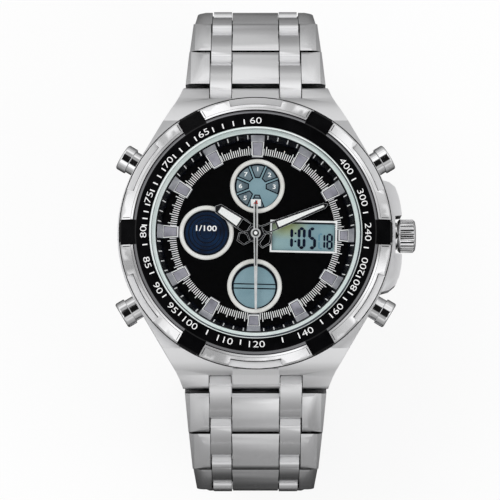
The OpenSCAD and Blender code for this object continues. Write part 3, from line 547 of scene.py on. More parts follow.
def softened(
    node, finish, width, segments=2, level=1.0, up_index=1, chooser=None, shares=None,
    rounded=False, run=None,
):
    """A copy of a CAD node with its flat faces made whole again and its edges rounded.

    Faces that look up more squarely than level take the finish at up_index. The others take
    the first one, or what a chooser gives for the low and high corner of their solid.
    Shares give an edge's part of the width, by its finish or as a function of its middle.
    A run is the way along the bracelet, which the shading of a link's tops follows.
    """
    source = frame["nodes"][node]
    bm = rejoined(source)
    along = bm.verts.layers.float.new(ALONG) if run else None
    for group in islands(bm):
        corners = [v.co for f in group for v in f.verts]
        low, high = (
            Vector([end(c[k] for c in corners) for k in range(3)]) for end in (min, max)
        )
        kind = chooser(low, high) if chooser else 0
        for face in group:
            face.smooth = True
            face.material_index = up_index if face.normal.z > level else kind
        if run:
            reach = [c.dot(run) for c in corners]
            middle = (min(reach) + max(reach)) / 2
            for vert in {v for f in group for v in f.verts}:
                vert[along] = (vert.co.dot(run) - middle) / MM
    weight = bm.edges.layers.float.new("bevel_weight_edge")
    for edge in bm.edges:
        if len(edge.link_faces) != 2 or edge.calc_face_angle(0.0) <= SHARP:
            continue
        if callable(shares):
            edge[weight] = shares((edge.verts[0].co + edge.verts[1].co) / 2)
        elif shares:
            edge[weight] = shares[min(f.material_index for f in edge.link_faces)]
        else:
            edge[weight] = 1.0
    made = piece(node + "_finished", bm, finish, source["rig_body"])
    made.data.set_sharp_from_angle(angle=SHARP)
    bevel = made.modifiers.new("soft_edges", "BEVEL")
    bevel.width = width * MM
    bevel.segments = segments
    bevel.limit_method = "WEIGHT"
    bevel.use_clamp_overlap = True
    bevel.harden_normals = not rounded
    bevel.miter_outer = "MITER_ARC"
    if rounded:
        made.modifiers.new("even_normals", "WEIGHTED_NORMAL").keep_sharp = True
    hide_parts(node)
    return made


# CAD nodes that stay as they are: finish and slot

PLAIN = {
    "case_back": (brushed, "brushed_steel"),
    "case_back_screws": (polished, "polished_steel"),
    "case_back_gasket": (rubber, "rubber_seal"),
    "bezel_ring": (gloss_black, "black_scale"),
    "crystal": (crystal_glass, "crystal_glass"),
    "crystal_gasket": (clear_seal, "clear_gasket"),
    "chapter_ring": (slope_black, "black_scale"),
    "dial": (dial_black, "black_dial"),
    "hour_markers": (marker_metal, "marker_silver"),
    "subdial_rings": (ring_cream, "frame_silver"),
    "lcd_frame": (frame_white, "frame_silver"),
    "lcd_panel": (lcd_green, "display"),
    "second_hand": (hand_light, "hand_silver"),
    "hour_pipe": (brass, "brass"),
    "minute_pipe": (brass, "brass"),
    "second_staff": (pin_metal, "pin_steel"),
    "main_plate": (brass, "brass"),
    "movement_module": (module_black, "module_plastic"),
    "movement_ring": (holder_white, "holder_plastic"),
    "circuit_board": (board_green, "board_green"),
    "battery": (cell_metal, "cell_steel"),
    "battery_strap": (cell_metal, "cell_steel"),
    "coil": (copper, "copper_wire"),
    "stem": (pin_metal, "pin_steel"),
    "crown_tube": (satin, "polished_steel"),
    "setting_lever": (pin_metal, "pin_steel"),
    "pusher_tubes": (polished, "polished_steel"),
    "lug_pins": (pin_metal, "pin_steel"),
    "clasp_hinge_pins": (pin_metal, "pin_steel"),
    "clasp_spring_bar": (pin_metal, "pin_steel"),
}
for node, (finish, slot) in PLAIN.items():
    data = frame["nodes"][node].data
    data.materials.clear()
    data.materials.append(finish)


# CAD nodes that are replaced by a copy with soft edges: finish, slot and edge width

SOFT = {
    "case": (case_steel, "brushed_steel", 0.2),
    "bezel": (satin, "polished_steel", 0.1),
    "crown": (ridged, "polished_steel", 0.05),
    "pusher_2": (polished, "polished_steel", 0.15),
    "pusher_4": (polished, "polished_steel", 0.15),
    "pusher_8": (polished, "polished_steel", 0.15),
    "pusher_10": (polished, "polished_steel", 0.15),
    "clasp_cover": (brushed, "brushed_steel", 0.15),
    "clasp_middle_leaf": (polished, "polished_steel", 0.1),
    "clasp_inner_leaf": (polished, "polished_steel", 0.1),
    "clasp_button_left": (polished, "polished_steel", 0.1),
    "clasp_button_right": (polished, "polished_steel", 0.1),
    # The hands' flats take a painted dark reflection, and their rounded edges are steel
    "hour_hand": (painted_hand_reflection, "hand_silver", 0.13),
    "minute_hand": (painted_hand_reflection, "hand_silver", 0.13),
}
# Upward tilt from which the case and the bezel are matt
MATT_LEVELS = {"case": 0.97, "bezel": 0.955}

# Finishes of a link, their indices, and their shares of the edge width
LINK_FINISHES = [brushed, satin, pin_metal, knuckle]
BRUSHED, NARROW, PIN, KNUCKLE = range(4)
LINK_SHARES = (0.4, 1.0, 0.3, 0.4)
LINK_EDGE = 0.4
LINKS_A_SIDE = 8
# How thick a pin is at most, and where a narrow piece's middle lies and how wide it is at most
PIN_T, NARROW_FROM, NARROW_TO, NARROW_W = 1.4, 3.5, 7.9, 3.9


def link_part(low, high):
    """Index of the finish of a link's solid: outer or centre piece, narrow piece, or pin."""
    if max(high.y - low.y, high.z - low.z) < PIN_T * MM:
        return PIN
    middle = abs(low.x + high.x) / 2
    beside = NARROW_FROM * MM < middle < NARROW_TO * MM
    return NARROW if beside and high.x - low.x < NARROW_W * MM else BRUSHED


def hand_rim_share(hand):
    """Rounds a hand's outer rim in full, and the rim of its recess hardly at all."""
    half_in, r0, half_out, r1 = HAND_RECESS[hand]

    def share(middle):
        across, along = turned([(middle.x / MM, middle.y / MM)], -HAND_AT[hand])[0]
        half = half_in + (half_out - half_in) * (along - r0) / (r1 - r0)
        return 0.2 if r0 - 0.05 < along < r1 + 0.05 and abs(across) < half + 0.04 else 1.0

    return share


for node, (finish, slot, width) in SOFT.items():
    if node in MATT_LEVELS:
        softened(node, [finish, matt], width, level=MATT_LEVELS[node])
    elif finish is painted_hand_reflection:
        shares = hand_rim_share(node.removesuffix("_hand"))
        made = softened(node, [finish, hand_edge], width, shares=shares)
        made.modifiers["soft_edges"].material = 1
    else:
        softened(node, finish, width, rounded=node.startswith("pusher"))

hinge_at = {
    joint["name"]: joint.get("pos_m") for joint in frame["record"]["behaviour"]["joints"]
}
bar_low, bar_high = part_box("clasp_spring_bar")
LAST_PIVOT = {"12": (bar_low + bar_high) / 2, "6": Vector(hinge_at["clasp_cover_hinge"])}
for side, last_pivot in LAST_PIVOT.items():
    numbers = range(1, LINKS_A_SIDE + 1)
    pivots = [Vector(hinge_at[f"link_{side}_{number}_hinge"]) for number in numbers]
    pivots.append(last_pivot)
    for number in numbers:
        softened(
            f"link_{side}_{number}", LINK_FINISHES, LINK_EDGE, segments=3,
            level=0.88, up_index=KNUCKLE, chooser=link_part, shares=LINK_SHARES,
            run=(pivots[number] - pivots[number - 1]).normalized(),
        )


# Speed scale on the bezel's ring

CAP_HEIGHT = 0.73


def add_figures(bm, text, height, widen, place, base, weight=0.02):
    """Figures laid on a surface: place gives the point for an offset across and up."""
    curve = bpy.data.curves.new("figures", "FONT")
    curve.body = text
    curve.align_x = "CENTER"
    curve.size = height / CAP_HEIGHT
    curve.offset = weight
    curve.resolution_u = 4
    helper = bpy.data.objects.new("figures", curve)
    bpy.context.scene.collection.objects.link(helper)
    evaluated = helper.evaluated_get(bpy.context.evaluated_depsgraph_get())
    mesh = bpy.data.meshes.new_from_object(evaluated)
    figures = bmesh.new()
    figures.from_mesh(mesh)
    heights = [v.co.y for v in figures.verts]
    middle = (min(heights) + max(heights)) / 2
    lift = bmesh.ops.extrude_face_region(figures, geom=list(figures.faces))
    risen = {v for v in lift["geom"] if isinstance(v, bmesh.types.BMVert)}
    places = {}
    for vert in figures.verts:
        x, y = place(vert.co.x * widen, vert.co.y - middle)
        z = base(x, y) + (PRINT_T * MM if vert in risen else 0.0)
        places[vert] = bm.verts.new((x * MM, y * MM, z))
    for face in figures.faces:
        bm.faces.new([places[v] for v in face.verts])
    figures.free()
    bpy.data.objects.remove(helper)
    bpy.data.curves.remove(curve)
    bpy.data.meshes.remove(mesh)


def round_the_rim(radius, degrees):
    """Bends figures along a ring, so that they stand upright on its lower half too."""
    side = 1 if degrees <= 91 or degrees >= 269 else -1
    return lambda x, y: clock(radius + side * y, degrees + side * math.degrees(x / radius))


def at_place(centre, x0, y0):
    """Lays figures flat at a point given from a display's centre."""
    return lambda x, y: on_dial([(x0 + x, y0 + y)], centre)[0]


def speed_angle(value):
    """Clock angle of a speed on the scale: a mile done in so many seconds."""
    return 21600 / value % 360


SPEEDS = (60, 65, 70, 75, 80, 85, 90, 95, 100, 110, 120, 140, 160, 180, 200, 240, 300, 400)
SPEED_TICKS = (
    61, 62, 63, 64, 66, 67, 68, 69, 71, 72, 73, 74, 76, 77, 78, 79, 82, 87, 92, 97,
    105, 115, 130, 150, 170, 190, 220, 270, 350,
)
SPEED_R, SPEED_H, SPEED_WIDEN = 18.85, 1.12, 1.38
scale_figures = bmesh.new()
for speed in SPEEDS:
    add_figures(
        scale_figures, str(speed), SPEED_H, SPEED_WIDEN,
        round_the_rim(SPEED_R, speed_angle(speed)), flat(SCALE_Z), weight=-0.012,
    )
piece("scale_figures", scale_figures, ink_white, "head")
prisms(
    "scale_ticks",
    [radial_tick(speed_angle(value), 18.25, 19.1, 0.2) for value in SPEED_TICKS],
    flat(SCALE_Z), ink_white,
)


# Minute track on the dial: four parts to a minute, with longer lines on the minutes

TRACK_STEP, HOUR_STEP = 1.5, 30
# Half the angle that stays bare at an hour marker
BARE_HALF = 4.3
track = []
for part in range(240):
    at = part * TRACK_STEP
    if abs((at + HOUR_STEP / 2) % HOUR_STEP - HOUR_STEP / 2) > BARE_HALF:
        outer = 14.5 if part % 4 else 14.9
        track.append(radial_tick(at + DIAL_TURN, 13.4, outer, 0.13))
prisms("minute_track", track, flat(DIAL_Z), ink_white)


# Painted dark reflection on the inner edge of the crystal's seal, widest between four and five
# o'clock

SHADE_AT, SHADE_THIN, SHADE_WIDE = 140, 0.04, 0.30
seal_in, seal_out = [], []
for i in range(120):
    at = -3 * i
    swell = 0.5 + 0.5 * math.cos(math.radians(at - SHADE_AT))
    width = SHADE_THIN + (SHADE_WIDE - SHADE_THIN) * swell
    seal_in.append(clock(SEAL_IN_R, at))
    seal_out.append(clock(SEAL_IN_R + width, at))
seal_top = flat(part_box("crystal_gasket")[1].z)
prisms("seal_painted_reflection", [(seal_out, seal_in)], seal_top, painted_seal_reflection, thickness=0.01)


# Sloped ring: a tick for each minute between the hours

def slope_base(x, y):
    """Height of the sloped ring's face."""
    up = (math.hypot(x, y) - SLOPE_FOOT_R) / (SLOPE_TOP_R - SLOPE_FOOT_R)
    return DIAL_Z + up * SLOPE_RISE * MM


slope_ticks = [
    radial_tick(minute * 6 + DIAL_TURN, 16.05, 16.6, 0.17) for minute in range(60) if minute % 5
]
prisms("slope_ticks", slope_ticks, slope_base, ink_white)


# Luminous panels on the hour markers, each in a fine dark line and a pale rim, the rim a painted
# highlight of the marker's border

RIM_INSET, LINE_INSET, PANEL_INSET = 0.02, 0.16, 0.25
panel_rim_highlights, panel_lines, panels = [], [], []
for hour in range(12):
    inner = SHORT_MARKER_IN_R.get(hour, MARKER_IN_R)
    outer = SLOPE_FOOT_R - 0.02
    half_in = MARKER_IN_W / 2
    shown = (SLOPE_FOOT_R - inner) / (SLOPE_TOP_R - inner)
    half_out = half_in + (MARKER_OUT_W - MARKER_IN_W) / 2 * shown
    inner += 0.12
    shape = [(-half_in, inner), (half_in, inner), (half_out, outer), (-half_out, outer)]
    rim, line, panel = (
        turned(inset(shape, by), hour * HOUR_STEP + DIAL_TURN)
        for by in (RIM_INSET, LINE_INSET, PANEL_INSET)
    )
    panel_rim_highlights.append((rim, line))
    panel_lines.append((line, panel))
    panels.append(panel)
marker_top = flat(DIAL_Z + MARKER_T * MM)
# Painted highlight along each marker's metal border
prisms("marker_rim_highlights", panel_rim_highlights, marker_top, frame_white, thickness=0.04)
prisms("marker_lines", panel_lines, marker_top, groove_black, thickness=0.02)
prisms("marker_panels", panels, marker_top, lume_grey)


# Round displays, drawn on discs that lie on the panel

def over_panel(rise):
    return flat(PANEL_Z + rise * MM)


DISC_BASE, DISC_T, DISC_R = 0.01, 0.04, WINDOW_R - 0.02
# Bases of the lines on a disc, of what lies on those, and of the figure in the box
disc_top, print_top, box_top = (over_panel(rise) for rise in (0.05, 0.08, 0.11))
pale = [on_dial(disc(DISC_R), centre) for centre in (TOP_RING, LOW_RING)]
for name, discs, finish in (
    ("display_discs", pale, display_pale),
    ("display_disc_left", [on_dial(disc(DISC_R), LEFT_RING)], display_navy),
):
    prisms(name, discs, over_panel(DISC_BASE), finish, thickness=DISC_T)

DAY_AT = (0, 45, 90, 180, 225, 270, 315)
BOX_AT = 180
EIGHTH = 22.5
DAY_LINE = 0.2


def sector(degrees):
    """An eighth of the day display: flat inside, curved outside, listed anticlockwise."""
    split = math.radians(EIGHTH)
    strip, inner, outer = 0.13, 1.4, WINDOW_R - 0.12
    side = inner * math.tan(split) - strip / math.cos(split)
    reach = EIGHTH - math.degrees(math.asin(strip / outer))
    steps = 5
    arc = [clock(outer, reach - 2 * reach * i / steps) for i in range(steps + 1)]
    return turned([(-side, inner), (side, inner)] + arc, degrees)


day_frames, day_fills = [], []
for at in DAY_AT:
    outline = sector(at)
    fill = on_dial(inset(outline, DAY_LINE), TOP_RING)
    day_frames.append((on_dial(outline, TOP_RING), fill))
    day_fills.append(fill)
day_frames.append(on_dial(bar(-0.53, -2.06, 0.53, -1.9), TOP_RING))
prisms("day_lines", day_frames, disc_top, navy_line)
prisms("day_fills", day_fills, disc_top, wedge_grey, thickness=0.02)
day_box = on_dial(bar(-1.04, -3.4, 0.66, -2.2), TOP_RING)
prisms("day_box", [day_box], print_top, frame_white)

day_figures = bmesh.new()
for number, at in enumerate(DAY_AT, 1):
    if at != BOX_AT:
        x, y = clock(2.95 if at == 0 else 2.85, at)
        add_figures(day_figures, str(number), 0.75, 1.25, at_place(TOP_RING, x, y), print_top)
add_figures(day_figures, "1/100", 0.95, 1.3, at_place(LEFT_RING, -0.18, 0.79), print_top)
piece("display_figures", day_figures, ink_white, "head")
red_figure = bmesh.new()
add_figures(red_figure, "4", 0.85, 1.3, at_place(TOP_RING, -0.19, -2.8), box_top)
piece("day_figure_red", red_figure, day_red, "head")

# Dark rings of the left display, as radius and width
COUNTER_RINGS = ((WINDOW_R - 0.04, 0.3), (3.1, 0.22), (2.45, 0.14), (1.8, 0.2), (1.1, 0.12))
counter_rings = [
    (on_dial(disc(radius), LEFT_RING), on_dial(disc(radius - width), LEFT_RING))
    for radius, width in COUNTER_RINGS
]
prisms("counter_rings", counter_rings, disc_top, navy_line)

# Painted shadow of the pale windows' rims on their discs, wider at the top
window_rim_shadows = []
for centre, width, drop in ((TOP_RING, 0.14, 0.05), (LOW_RING, 0.36, 0.14)):
    hole = moved(disc(WINDOW_R - width), (0, -drop))
    window_rim_shadows.append((on_dial(disc(WINDOW_R - 0.03), centre), on_dial(hole, centre)))
prisms("window_rim_shadows", window_rim_shadows, disc_top, navy_line, thickness=0.05)

line_half = WINDOW_R - 0.3
date_lines = [
    on_dial(bar(-line_half, y, line_half, y + 0.18), LOW_RING) for y in (-0.46, 0.28)
]
prisms("date_lines", date_lines, disc_top, navy_line)


# Liquid crystal figures, in millimetres from the middle of the rectangular frame

SEGMENTS = {"0": "abcdef", "1": "bc", "5": "acdfg", "8": "abcdefg"}
SEGMENT_GAP = 0.03
LCD_BASE = 0.02


def segment_figure(lit, x, y, width, height, stroke):
    """Bars of a seven-segment figure with pointed ends, listed anticlockwise."""
    half, mid = stroke / 2, y + height / 2

    def across(at):
        left, right = x + half + SEGMENT_GAP, x + width - half - SEGMENT_GAP
        return [
            (left, at), (left + half, at - half), (right - half, at - half), (right, at),
            (right - half, at + half), (left + half, at + half),
        ]

    def upright(at, low, high):
        low, high = low + SEGMENT_GAP, high - SEGMENT_GAP
        return [
            (at, low), (at + half, low + half), (at + half, high - half), (at, high),
            (at - half, high - half), (at - half, low + half),
        ]

    left, right = x + half, x + width - half
    low, high = y + half, y + height - half
    bars = {
        "a": across(high), "g": across(mid), "d": across(low),
        "f": upright(left, mid, high), "b": upright(right, mid, high),
        "e": upright(left, low, mid), "c": upright(right, low, mid),
    }
    return [bars[s] for s in lit]


def lcd_prisms(name, shapes, finish, thickness=PRINT_T):
    shapes = [on_dial(shape, LCD_AT) for shape in shapes]
    prisms(name, shapes, over_panel(LCD_BASE), finish, thickness=thickness)


lit = []
for figure, x in (("1", -3.1), ("0", -1.0), ("5", 0.78)):
    lit += segment_figure(SEGMENTS[figure], x, -2.08, 1.36, 3.72, 0.5)
for figure, x in (("1", 2.6), ("8", 3.85)):
    lit += segment_figure(SEGMENTS[figure], x, -2.05, 1.1, 2.7, 0.35)
for y in (-0.95, 0.4):
    lit.append(bar(-1.52, y, -1.18, y + 0.32))
lcd_prisms("lcd_figures", lit, display_ink)
# Faint unlit bars of the date's first figure
lcd_prisms("lcd_ghosts", segment_figure("adef", 2.52, -2.05, 0.8, 2.7, 0.24), ghost_ink, 0.01)
# Shade of the frame on the panel's upper, left and right edge
lcd_x, lcd_y = LCD_W / 2 - LCD_BAR, LCD_H / 2 - LCD_BAR
SHADE_TOP, SHADE_LEFT, SHADE_RIGHT = 0.24, 0.1, 0.12
lcd_prisms("lcd_shade", [
    bar(-lcd_x, lcd_y - SHADE_TOP, lcd_x, lcd_y),
    bar(-lcd_x, -lcd_y, SHADE_LEFT - lcd_x, lcd_y - SHADE_TOP),
    bar(lcd_x - SHADE_RIGHT, -lcd_y, lcd_x, lcd_y - SHADE_TOP),
], navy_line)


# Hands: luminous fillings in a fine dark line, and the second hand's slots and hub

for hand, (half_in, r0, half_out, r1) in HAND_RECESS.items():
    floor_z = flat(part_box(hand + "_hand")[1].z - RECESS_DEPTH * MM)
    recess = [(-half_in, r0), (half_in, r0), (half_out, r1), (-half_out, r1)]
    line, filling = (turned(inset(recess, by), HAND_AT[hand]) for by in (0.01, 0.07))
    prisms(
        hand + "_groove", [(line, filling)], floor_z, groove_black,
        body=hand, thickness=0.05,
    )
    prisms(
        hand + "_filling", [filling], floor_z, lume_white,
        body=hand, thickness=RECESS_DEPTH,
    )

HUB_CAP_R, HUB_R = 0.3, 0.54
SLOT_HALF, SLOT_IN, SLOT_OUT = 0.09, 0.78, 5.5
slots = [
    bar(-SLOT_HALF, SLOT_IN, SLOT_HALF, SLOT_OUT),
    bar(-SLOT_HALF, -SLOT_OUT, SLOT_HALF, -SLOT_IN),
]
second_top = flat(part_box("second_hand")[1].z)
for name, shapes, finish, thickness in (
    ("second_slots", slots, groove_black, 0.015),
    ("second_hub_ring", [(disc(HUB_R), disc(HUB_CAP_R))], groove_black, 0.015),
    ("second_hub_cap", [disc(HUB_CAP_R)], lume_white, 0.05),
):
    prisms(
        name, shapes, second_top, finish, body="second", thickness=thickness,
    )


# Trim and dark lines of the bezel, with lips beside its tabs

def ring_arcs(name, profile, finish, spans, step=1.5):
    """A closed profile of (radius, drop below the scale), carried round over each span."""
    bm = bmesh.new()
    for start, end in spans:
        count = max(2, round((end - start) / step))
        rows = []
        for i in range(count + 1):
            at = start + (end - start) * i / count
            row = [(*clock(r, at), drop) for r, drop in profile]
            rows.append([bm.verts.new((x * MM, y * MM, SCALE_Z - d * MM)) for x, y, d in row])
        size = len(profile)
        for a, b in zip(rows, rows[1:]):
            for k in range(size):
                m = (k + 1) % size
                bm.faces.new((a[k], a[m], b[m], b[k]))
        bm.faces.new(rows[0])
        bm.faces.new(list(reversed(rows[-1])))
    smoothed(piece(name, bm, finish, "head"))


def bezel_slope(x, y):
    """Height just under the steel rim's sloped face."""
    (r0, z0), (r1, z1) = BEZEL_IN, BEZEL_OUT
    fall = z0 + (math.hypot(x, y) - r0) / (r1 - r0) * (z1 - z0)
    return SCALE_Z - (fall + 0.02) * MM


TAB_STEP, FIRST_TAB, TAB_REACH, RECESS_REACH = 60, 30, 5.9, 11.1
TAB_AT = [FIRST_TAB + TAB_STEP * i for i in range(6)]
between_tabs = [(at + TAB_REACH, at + TAB_STEP - TAB_REACH) for at in TAB_AT]
recesses = [(TAB_STEP * i - RECESS_REACH, TAB_STEP * i + RECESS_REACH) for i in range(6)]
ring_arcs(
    "trim_ring",
    [(20.70, 0.36), (20.72, 0.05), (20.76, 0.02), (21.16, 0.16), (21.16, 0.24), (20.9, 0.36)],
    polished, between_tabs,
)
ring_arcs(
    "trim_slope", [(20.12, 0.02), (20.56, 0.29), (20.5, 0.34), (20.1, 0.08)],
    dark_steel, between_tabs,
)
ring_arcs(
    "bezel_seam", [(22.88, 1.4), (22.88, 0.92), (22.98, 0.92), (22.98, 1.4)],
    groove_black, [(0, 360)],
)
ring_arcs(
    "recess_lines", [(21.66, 0.93), (21.66, 0.87), (21.76, 0.87), (21.76, 0.93)],
    groove_black, recesses,
)
LIP_IN, LIP_OUT, GROOVE_OUT = TAB_HALF + 0.02, TAB_HALF + 0.26, TAB_HALF + 0.38
lips, grooves = [], []
for at in TAB_AT:
    for side in (-1, 1):
        x0, x1 = sorted((side * LIP_IN, side * LIP_OUT))
        lips.append(turned(bar(x0, 20.95, x1, 22.3), at))
        x0, x1 = sorted((side * LIP_OUT, side * GROOVE_OUT))
        grooves.append(turned(bar(x0, 21.1, x1, 22.3), at))
prisms("bezel_lips", lips, bezel_slope, polished, thickness=0.15)
prisms("bezel_grooves", grooves, bezel_slope, groove_black, thickness=0.04)


# Painted shade: dark strips along the bottoms of the crown's flutes

FLUTE_HALF, FLUTE_SUNK, FLUTE_PROUD = 0.05, 0.04, 0.05
crown_low, crown_high = (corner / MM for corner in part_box("crown"))
crown_axis, crown_r = (crown_low.z + crown_high.z) / 2, (crown_high.z - crown_low.z) / 2
flutes = bmesh.new()
for i in range(CROWN_FLUTES):
    a = 2 * math.pi * i / CROWN_FLUTES
    ends = []
    for x in (crown_low.x + 0.38, crown_high.x - 0.34):
        end = []
        for out, w in (
            (-FLUTE_SUNK, -FLUTE_HALF), (-FLUTE_SUNK, FLUTE_HALF),
            (FLUTE_PROUD, FLUTE_HALF), (FLUTE_PROUD, -FLUTE_HALF),
        ):
            r = crown_r - FLUTE_DEPTH + out
            y, z = r * math.sin(a) + w * math.cos(a), r * math.cos(a) - w * math.sin(a)
            end.append(flutes.verts.new((x * MM, y * MM, (crown_axis + z) * MM)))
        ends.append(end)
    near, far = ends
    flutes.faces.new(near)
    flutes.faces.new(list(reversed(far)))
    for k in range(4):
        m = (k + 1) % 4
        flutes.faces.new((near[m], near[k], far[k], far[m]))
piece("crown_flutes", flutes, painted_flute_shade, frame["nodes"]["crown"]["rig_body"])


# Raised blocks in the middle of the case's ends

BLOCK_HALF, BLOCK_EDGE, BLOCK_RISE, BLOCK_SUNK = 3.98, 0.1, 0.14, 0.06
# Height, in metres, from which rays fall on the case
ABOVE_ALL = 0.08


def draped(name, node, xs, ys, finish, body):
    """A patch raised over a CAD node's upper side: a grid of points, its border sunk in."""
    under = bmesh.new()
    under.from_mesh(frame["nodes"][node].data)
    tree = BVHTree.FromBMesh(under)
    under.free()
    bm = bmesh.new()
    rows = []
    for j, y in enumerate(ys):
        row = []
        for i, x in enumerate(xs):
            hit = tree.ray_cast(Vector((x * MM, y * MM, ABOVE_ALL)), Vector((0, 0, -1)))[0]
            border = i in (0, len(xs) - 1) or j in (0, len(ys) - 1)
            rise = -BLOCK_SUNK if border else BLOCK_RISE
            row.append(bm.verts.new((x * MM, y * MM, hit.z + rise * MM)))
        rows.append(row)
    for a, b in zip(rows, rows[1:]):
        for k in range(len(xs) - 1):
            bm.faces.new((a[k], a[k + 1], b[k + 1], b[k]))
    smoothed(piece(name, bm, finish, body))


block_xs = [-BLOCK_HALF, BLOCK_EDGE - BLOCK_HALF] + [-3.5 + i for i in range(8)]
block_xs += [BLOCK_HALF - BLOCK_EDGE, BLOCK_HALF]
block_ys = [22.5 + 0.14 * i for i in range(20)]
for name, sign in (("end_block_12", 1), ("end_block_6", -1)):
    ys = [sign * y for y in block_ys] + [sign * (block_ys[-1] + 0.08)]
    draped(name, "case", block_xs, ys, case_steel, "head")


# The studio: world and floor

WHITE = (1, 1, 1, 1)


def seen_white(tree, out, plain, white):
    """Shows the white shader to camera, glossy and transmission rays, else the plain one."""
    path = added(tree, "LightPath")
    seen = path.outputs["Is Camera Ray"]
    for ray in ("Is Glossy Ray", "Is Transmission Ray"):
        seen = maths(tree, "MAXIMUM", seen, path.outputs[ray])
    feed(tree, out, mixed(tree, seen, plain, white))


world = bpy.data.worlds.new("studio")
bpy.context.scene.world = world
world.use_nodes = True
tree = world.node_tree
soft_fill = tree.nodes["Background"]
feed(tree, soft_fill.inputs["Color"], WHITE)
feed(tree, soft_fill.inputs["Strength"], 0.75)
backdrop = added(tree, "Background", Color=WHITE, Strength=1.0)
seen_white(
    tree, tree.nodes["World Output"].inputs["Surface"],
    soft_fill.outputs["Background"], backdrop.outputs["Background"],
)

# Half the floor's side, in metres, and how much of what is seen of it is its own glow
FLOOR_HALF, FLOOR_GLOW = 3.0, 0.84
floor_mesh = bpy.data.meshes.new("floor")
floor_mesh.from_pydata(
    [(x, y, 0) for x, y in bar(-FLOOR_HALF, -FLOOR_HALF, FLOOR_HALF, FLOOR_HALF)],
    [], [(0, 1, 2, 3)],
)
floor = bpy.data.objects.new("floor", floor_mesh)
floor.location.z = -0.05 * MM
bpy.context.scene.collection.objects.link(floor)
paper = material("floor_paper", (0.95, 0.95, 0.95), 0.9)
floor_mesh.materials.append(paper)
tree = paper.node_tree
matt_paper = tree.nodes["Principled BSDF"].outputs["BSDF"]
glow = added(tree, "Emission", Strength=1.0)
seen_white(
    tree, tree.nodes["Material Output"].inputs["Surface"],
    matt_paper, mixed(tree, FLOOR_GLOW, matt_paper, glow.outputs["Emission"]),
)


# What reflections see: a tent over the watch and a mat under it

# Brightness by elevation behind the watch and in front of it, and round the watch high up
BEHIND = (
    (-60, 0.02), (-45, 0.12), (-35, 0.30), (-20, 0.36), (-8, 0.50), (0, 0.70), (7, 0.64),
    (14, 0.90), (22, 1.10), (32, 0.90), (50, 0.95),
)
BEFORE = (
    (-60, 0.02), (-45, 0.04), (-35, 0.08), (-22, 0.26), (-8, 0.32), (0, 0.34), (8, 0.40),
    (16, 0.50), (24, 0.66), (32, 0.84), (45, 0.90), (58, 0.95),
)
ROUND = (
    (0.0, 0.40), (0.1, 1.25), (0.3, 1.2), (0.45, 0.80), (0.7, 0.62), (0.85, 0.36), (1.0, 0.40),
)
HIGH_UP = ((28, 0.0), (40, 1.0))
LID, LID_TONE = ((56, 0.0), (64, 1.0)), 0.008


def between(value, stops):
    """Brightness at a value, from (place, brightness) stops in rising order."""
    if value <= stops[0][0]:
        return stops[0][1]
    for (a, low), (b, high) in zip(stops, stops[1:]):
        if value <= b:
            t = (value - a) / (b - a)
            return low + (high - low) * t * t * (3 - 2 * t)
    return stops[-1][1]


def studio_glow(direction):
    """Brightness that reflections meet in a direction from the watch."""
    d = direction.normalized()
    el = math.degrees(math.asin(d.z))
    level = math.hypot(d.x, d.y) or 1.0
    behind = 0.5 + 0.5 * d.y / level
    value = between(el, BEFORE) * (1 - behind) + between(el, BEHIND) * behind
    round_at = (math.degrees(math.atan2(d.x, d.y)) - FIRST_TAB) % TAB_STEP / TAB_STEP
    high = between(el, HIGH_UP)
    value = value * (1 - high) + between(round_at, ROUND) * high
    lid = between(el, LID)
    return value * (1 - lid) + LID_TONE * lid


def reflected_only(name, verts, faces):
    """A surface that only reflections see, each point glowing as its direction asks."""
    mesh = bpy.data.meshes.new(name)
    mesh.from_pydata(verts, [], faces)
    tones = mesh.color_attributes.new("studio_glow", "FLOAT_COLOR", "POINT")
    for place, vert in zip(tones.data, mesh.vertices):
        value = studio_glow(vert.co - Vector((0, 0, DIAL_Z)))
        place.color = (value, value, value, 1)
    made, tree = bare(name)
    tone = added(tree, "VertexColor")
    tone.layer_name = "studio_glow"
    shine = added(tree, "Emission", Color=tone.outputs["Color"])
    feed(tree, tree.nodes["Material Output"].inputs["Surface"], shine.outputs["Emission"])
    made.cycles.emission_sampling = "NONE"
    mesh.materials.append(made)
    card = bpy.data.objects.new(name, mesh)
    bpy.context.scene.collection.objects.link(card)
    card.visible_camera = False
    card.visible_diffuse = False
    card.visible_transmission = False
    card.visible_shadow = False


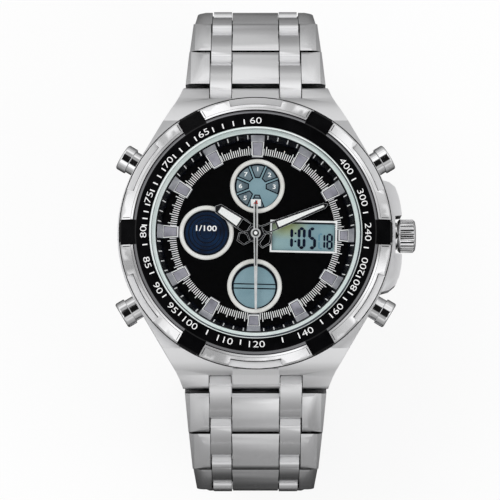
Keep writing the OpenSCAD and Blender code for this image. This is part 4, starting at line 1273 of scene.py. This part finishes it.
def shell(radii, heights, columns=120):
    """Rings of points, one for each radius and height, joined into a surface."""
    verts, faces = [], []
    for r, z in zip(radii, heights):
        for i in range(columns):
            a = 2 * math.pi * i / columns
            verts.append((r * math.cos(a), r * math.sin(a), z))
    for row in range(len(radii) - 1):
        low, high = row * columns, (row + 1) * columns
        for i in range(columns):
            j = (i + 1) % columns
            faces.append((low + i, low + j, high + j, high + i))
    return verts, faces


TENT_R = 0.7
tent_angles = [math.radians(-4 + 2 * i) for i in range(48)]
reflected_only("studio_tent", *shell(
    [TENT_R * max(math.cos(a), 0.001) for a in tent_angles],
    [DIAL_Z + TENT_R * math.sin(a) for a in tent_angles],
))
mat_radii = [0.001 + 0.012 * i for i in range(59)]
reflected_only("studio_mat", *shell(mat_radii, [-0.02 * MM] * len(mat_radii)))


# Lamps

def softbox(name, place, size, power):
    """A square area light that looks at the watch's head."""
    lamp = bpy.data.lights.new(name, "AREA")
    lamp.shape = "SQUARE"
    lamp.size = size
    lamp.energy = power
    made = bpy.data.objects.new(name, lamp)
    made.location = place
    made.rotation_mode = "QUATERNION"
    aim = Vector((0, 0, DIAL_Z)) - made.location
    made.rotation_quaternion = aim.to_track_quat("-Z", "Y")
    made.visible_camera = False
    bpy.context.scene.collection.objects.link(made)


softbox("key_softbox", Vector((-0.30, 0.35, 0.75)), 0.45, 1.9)
softbox("fill_softbox", Vector((0.50, -0.25, 0.60)), 0.40, 0.9)


# The photograph's view, from its distance, height and the dial's place in its frame

ELEVATION = math.radians(84)
DISTANCE = 460 * MM
LENS = 196.6
AIM_RIGHT, AIM_UP = -0.96 * MM, -2.73 * MM
back = Vector((0, -math.cos(ELEVATION), math.sin(ELEVATION)))
right = Vector((1, 0, 0))
up = back.cross(right)
camera_data = bpy.data.cameras.new("camera")
camera_data.lens = LENS
camera_data.clip_start = 0.01
camera = bpy.data.objects.new("camera", camera_data)
aim = Vector((0, 0, DIAL_Z)) + right * AIM_RIGHT + up * AIM_UP
camera.location = aim + back * DISTANCE
camera.rotation_mode = "QUATERNION"
camera.rotation_quaternion = (-back).to_track_quat("-Z", "Y")
bpy.context.scene.collection.objects.link(camera)
bpy.context.scene.camera = camera

bpy.context.scene.view_settings.view_transform = "Standard"
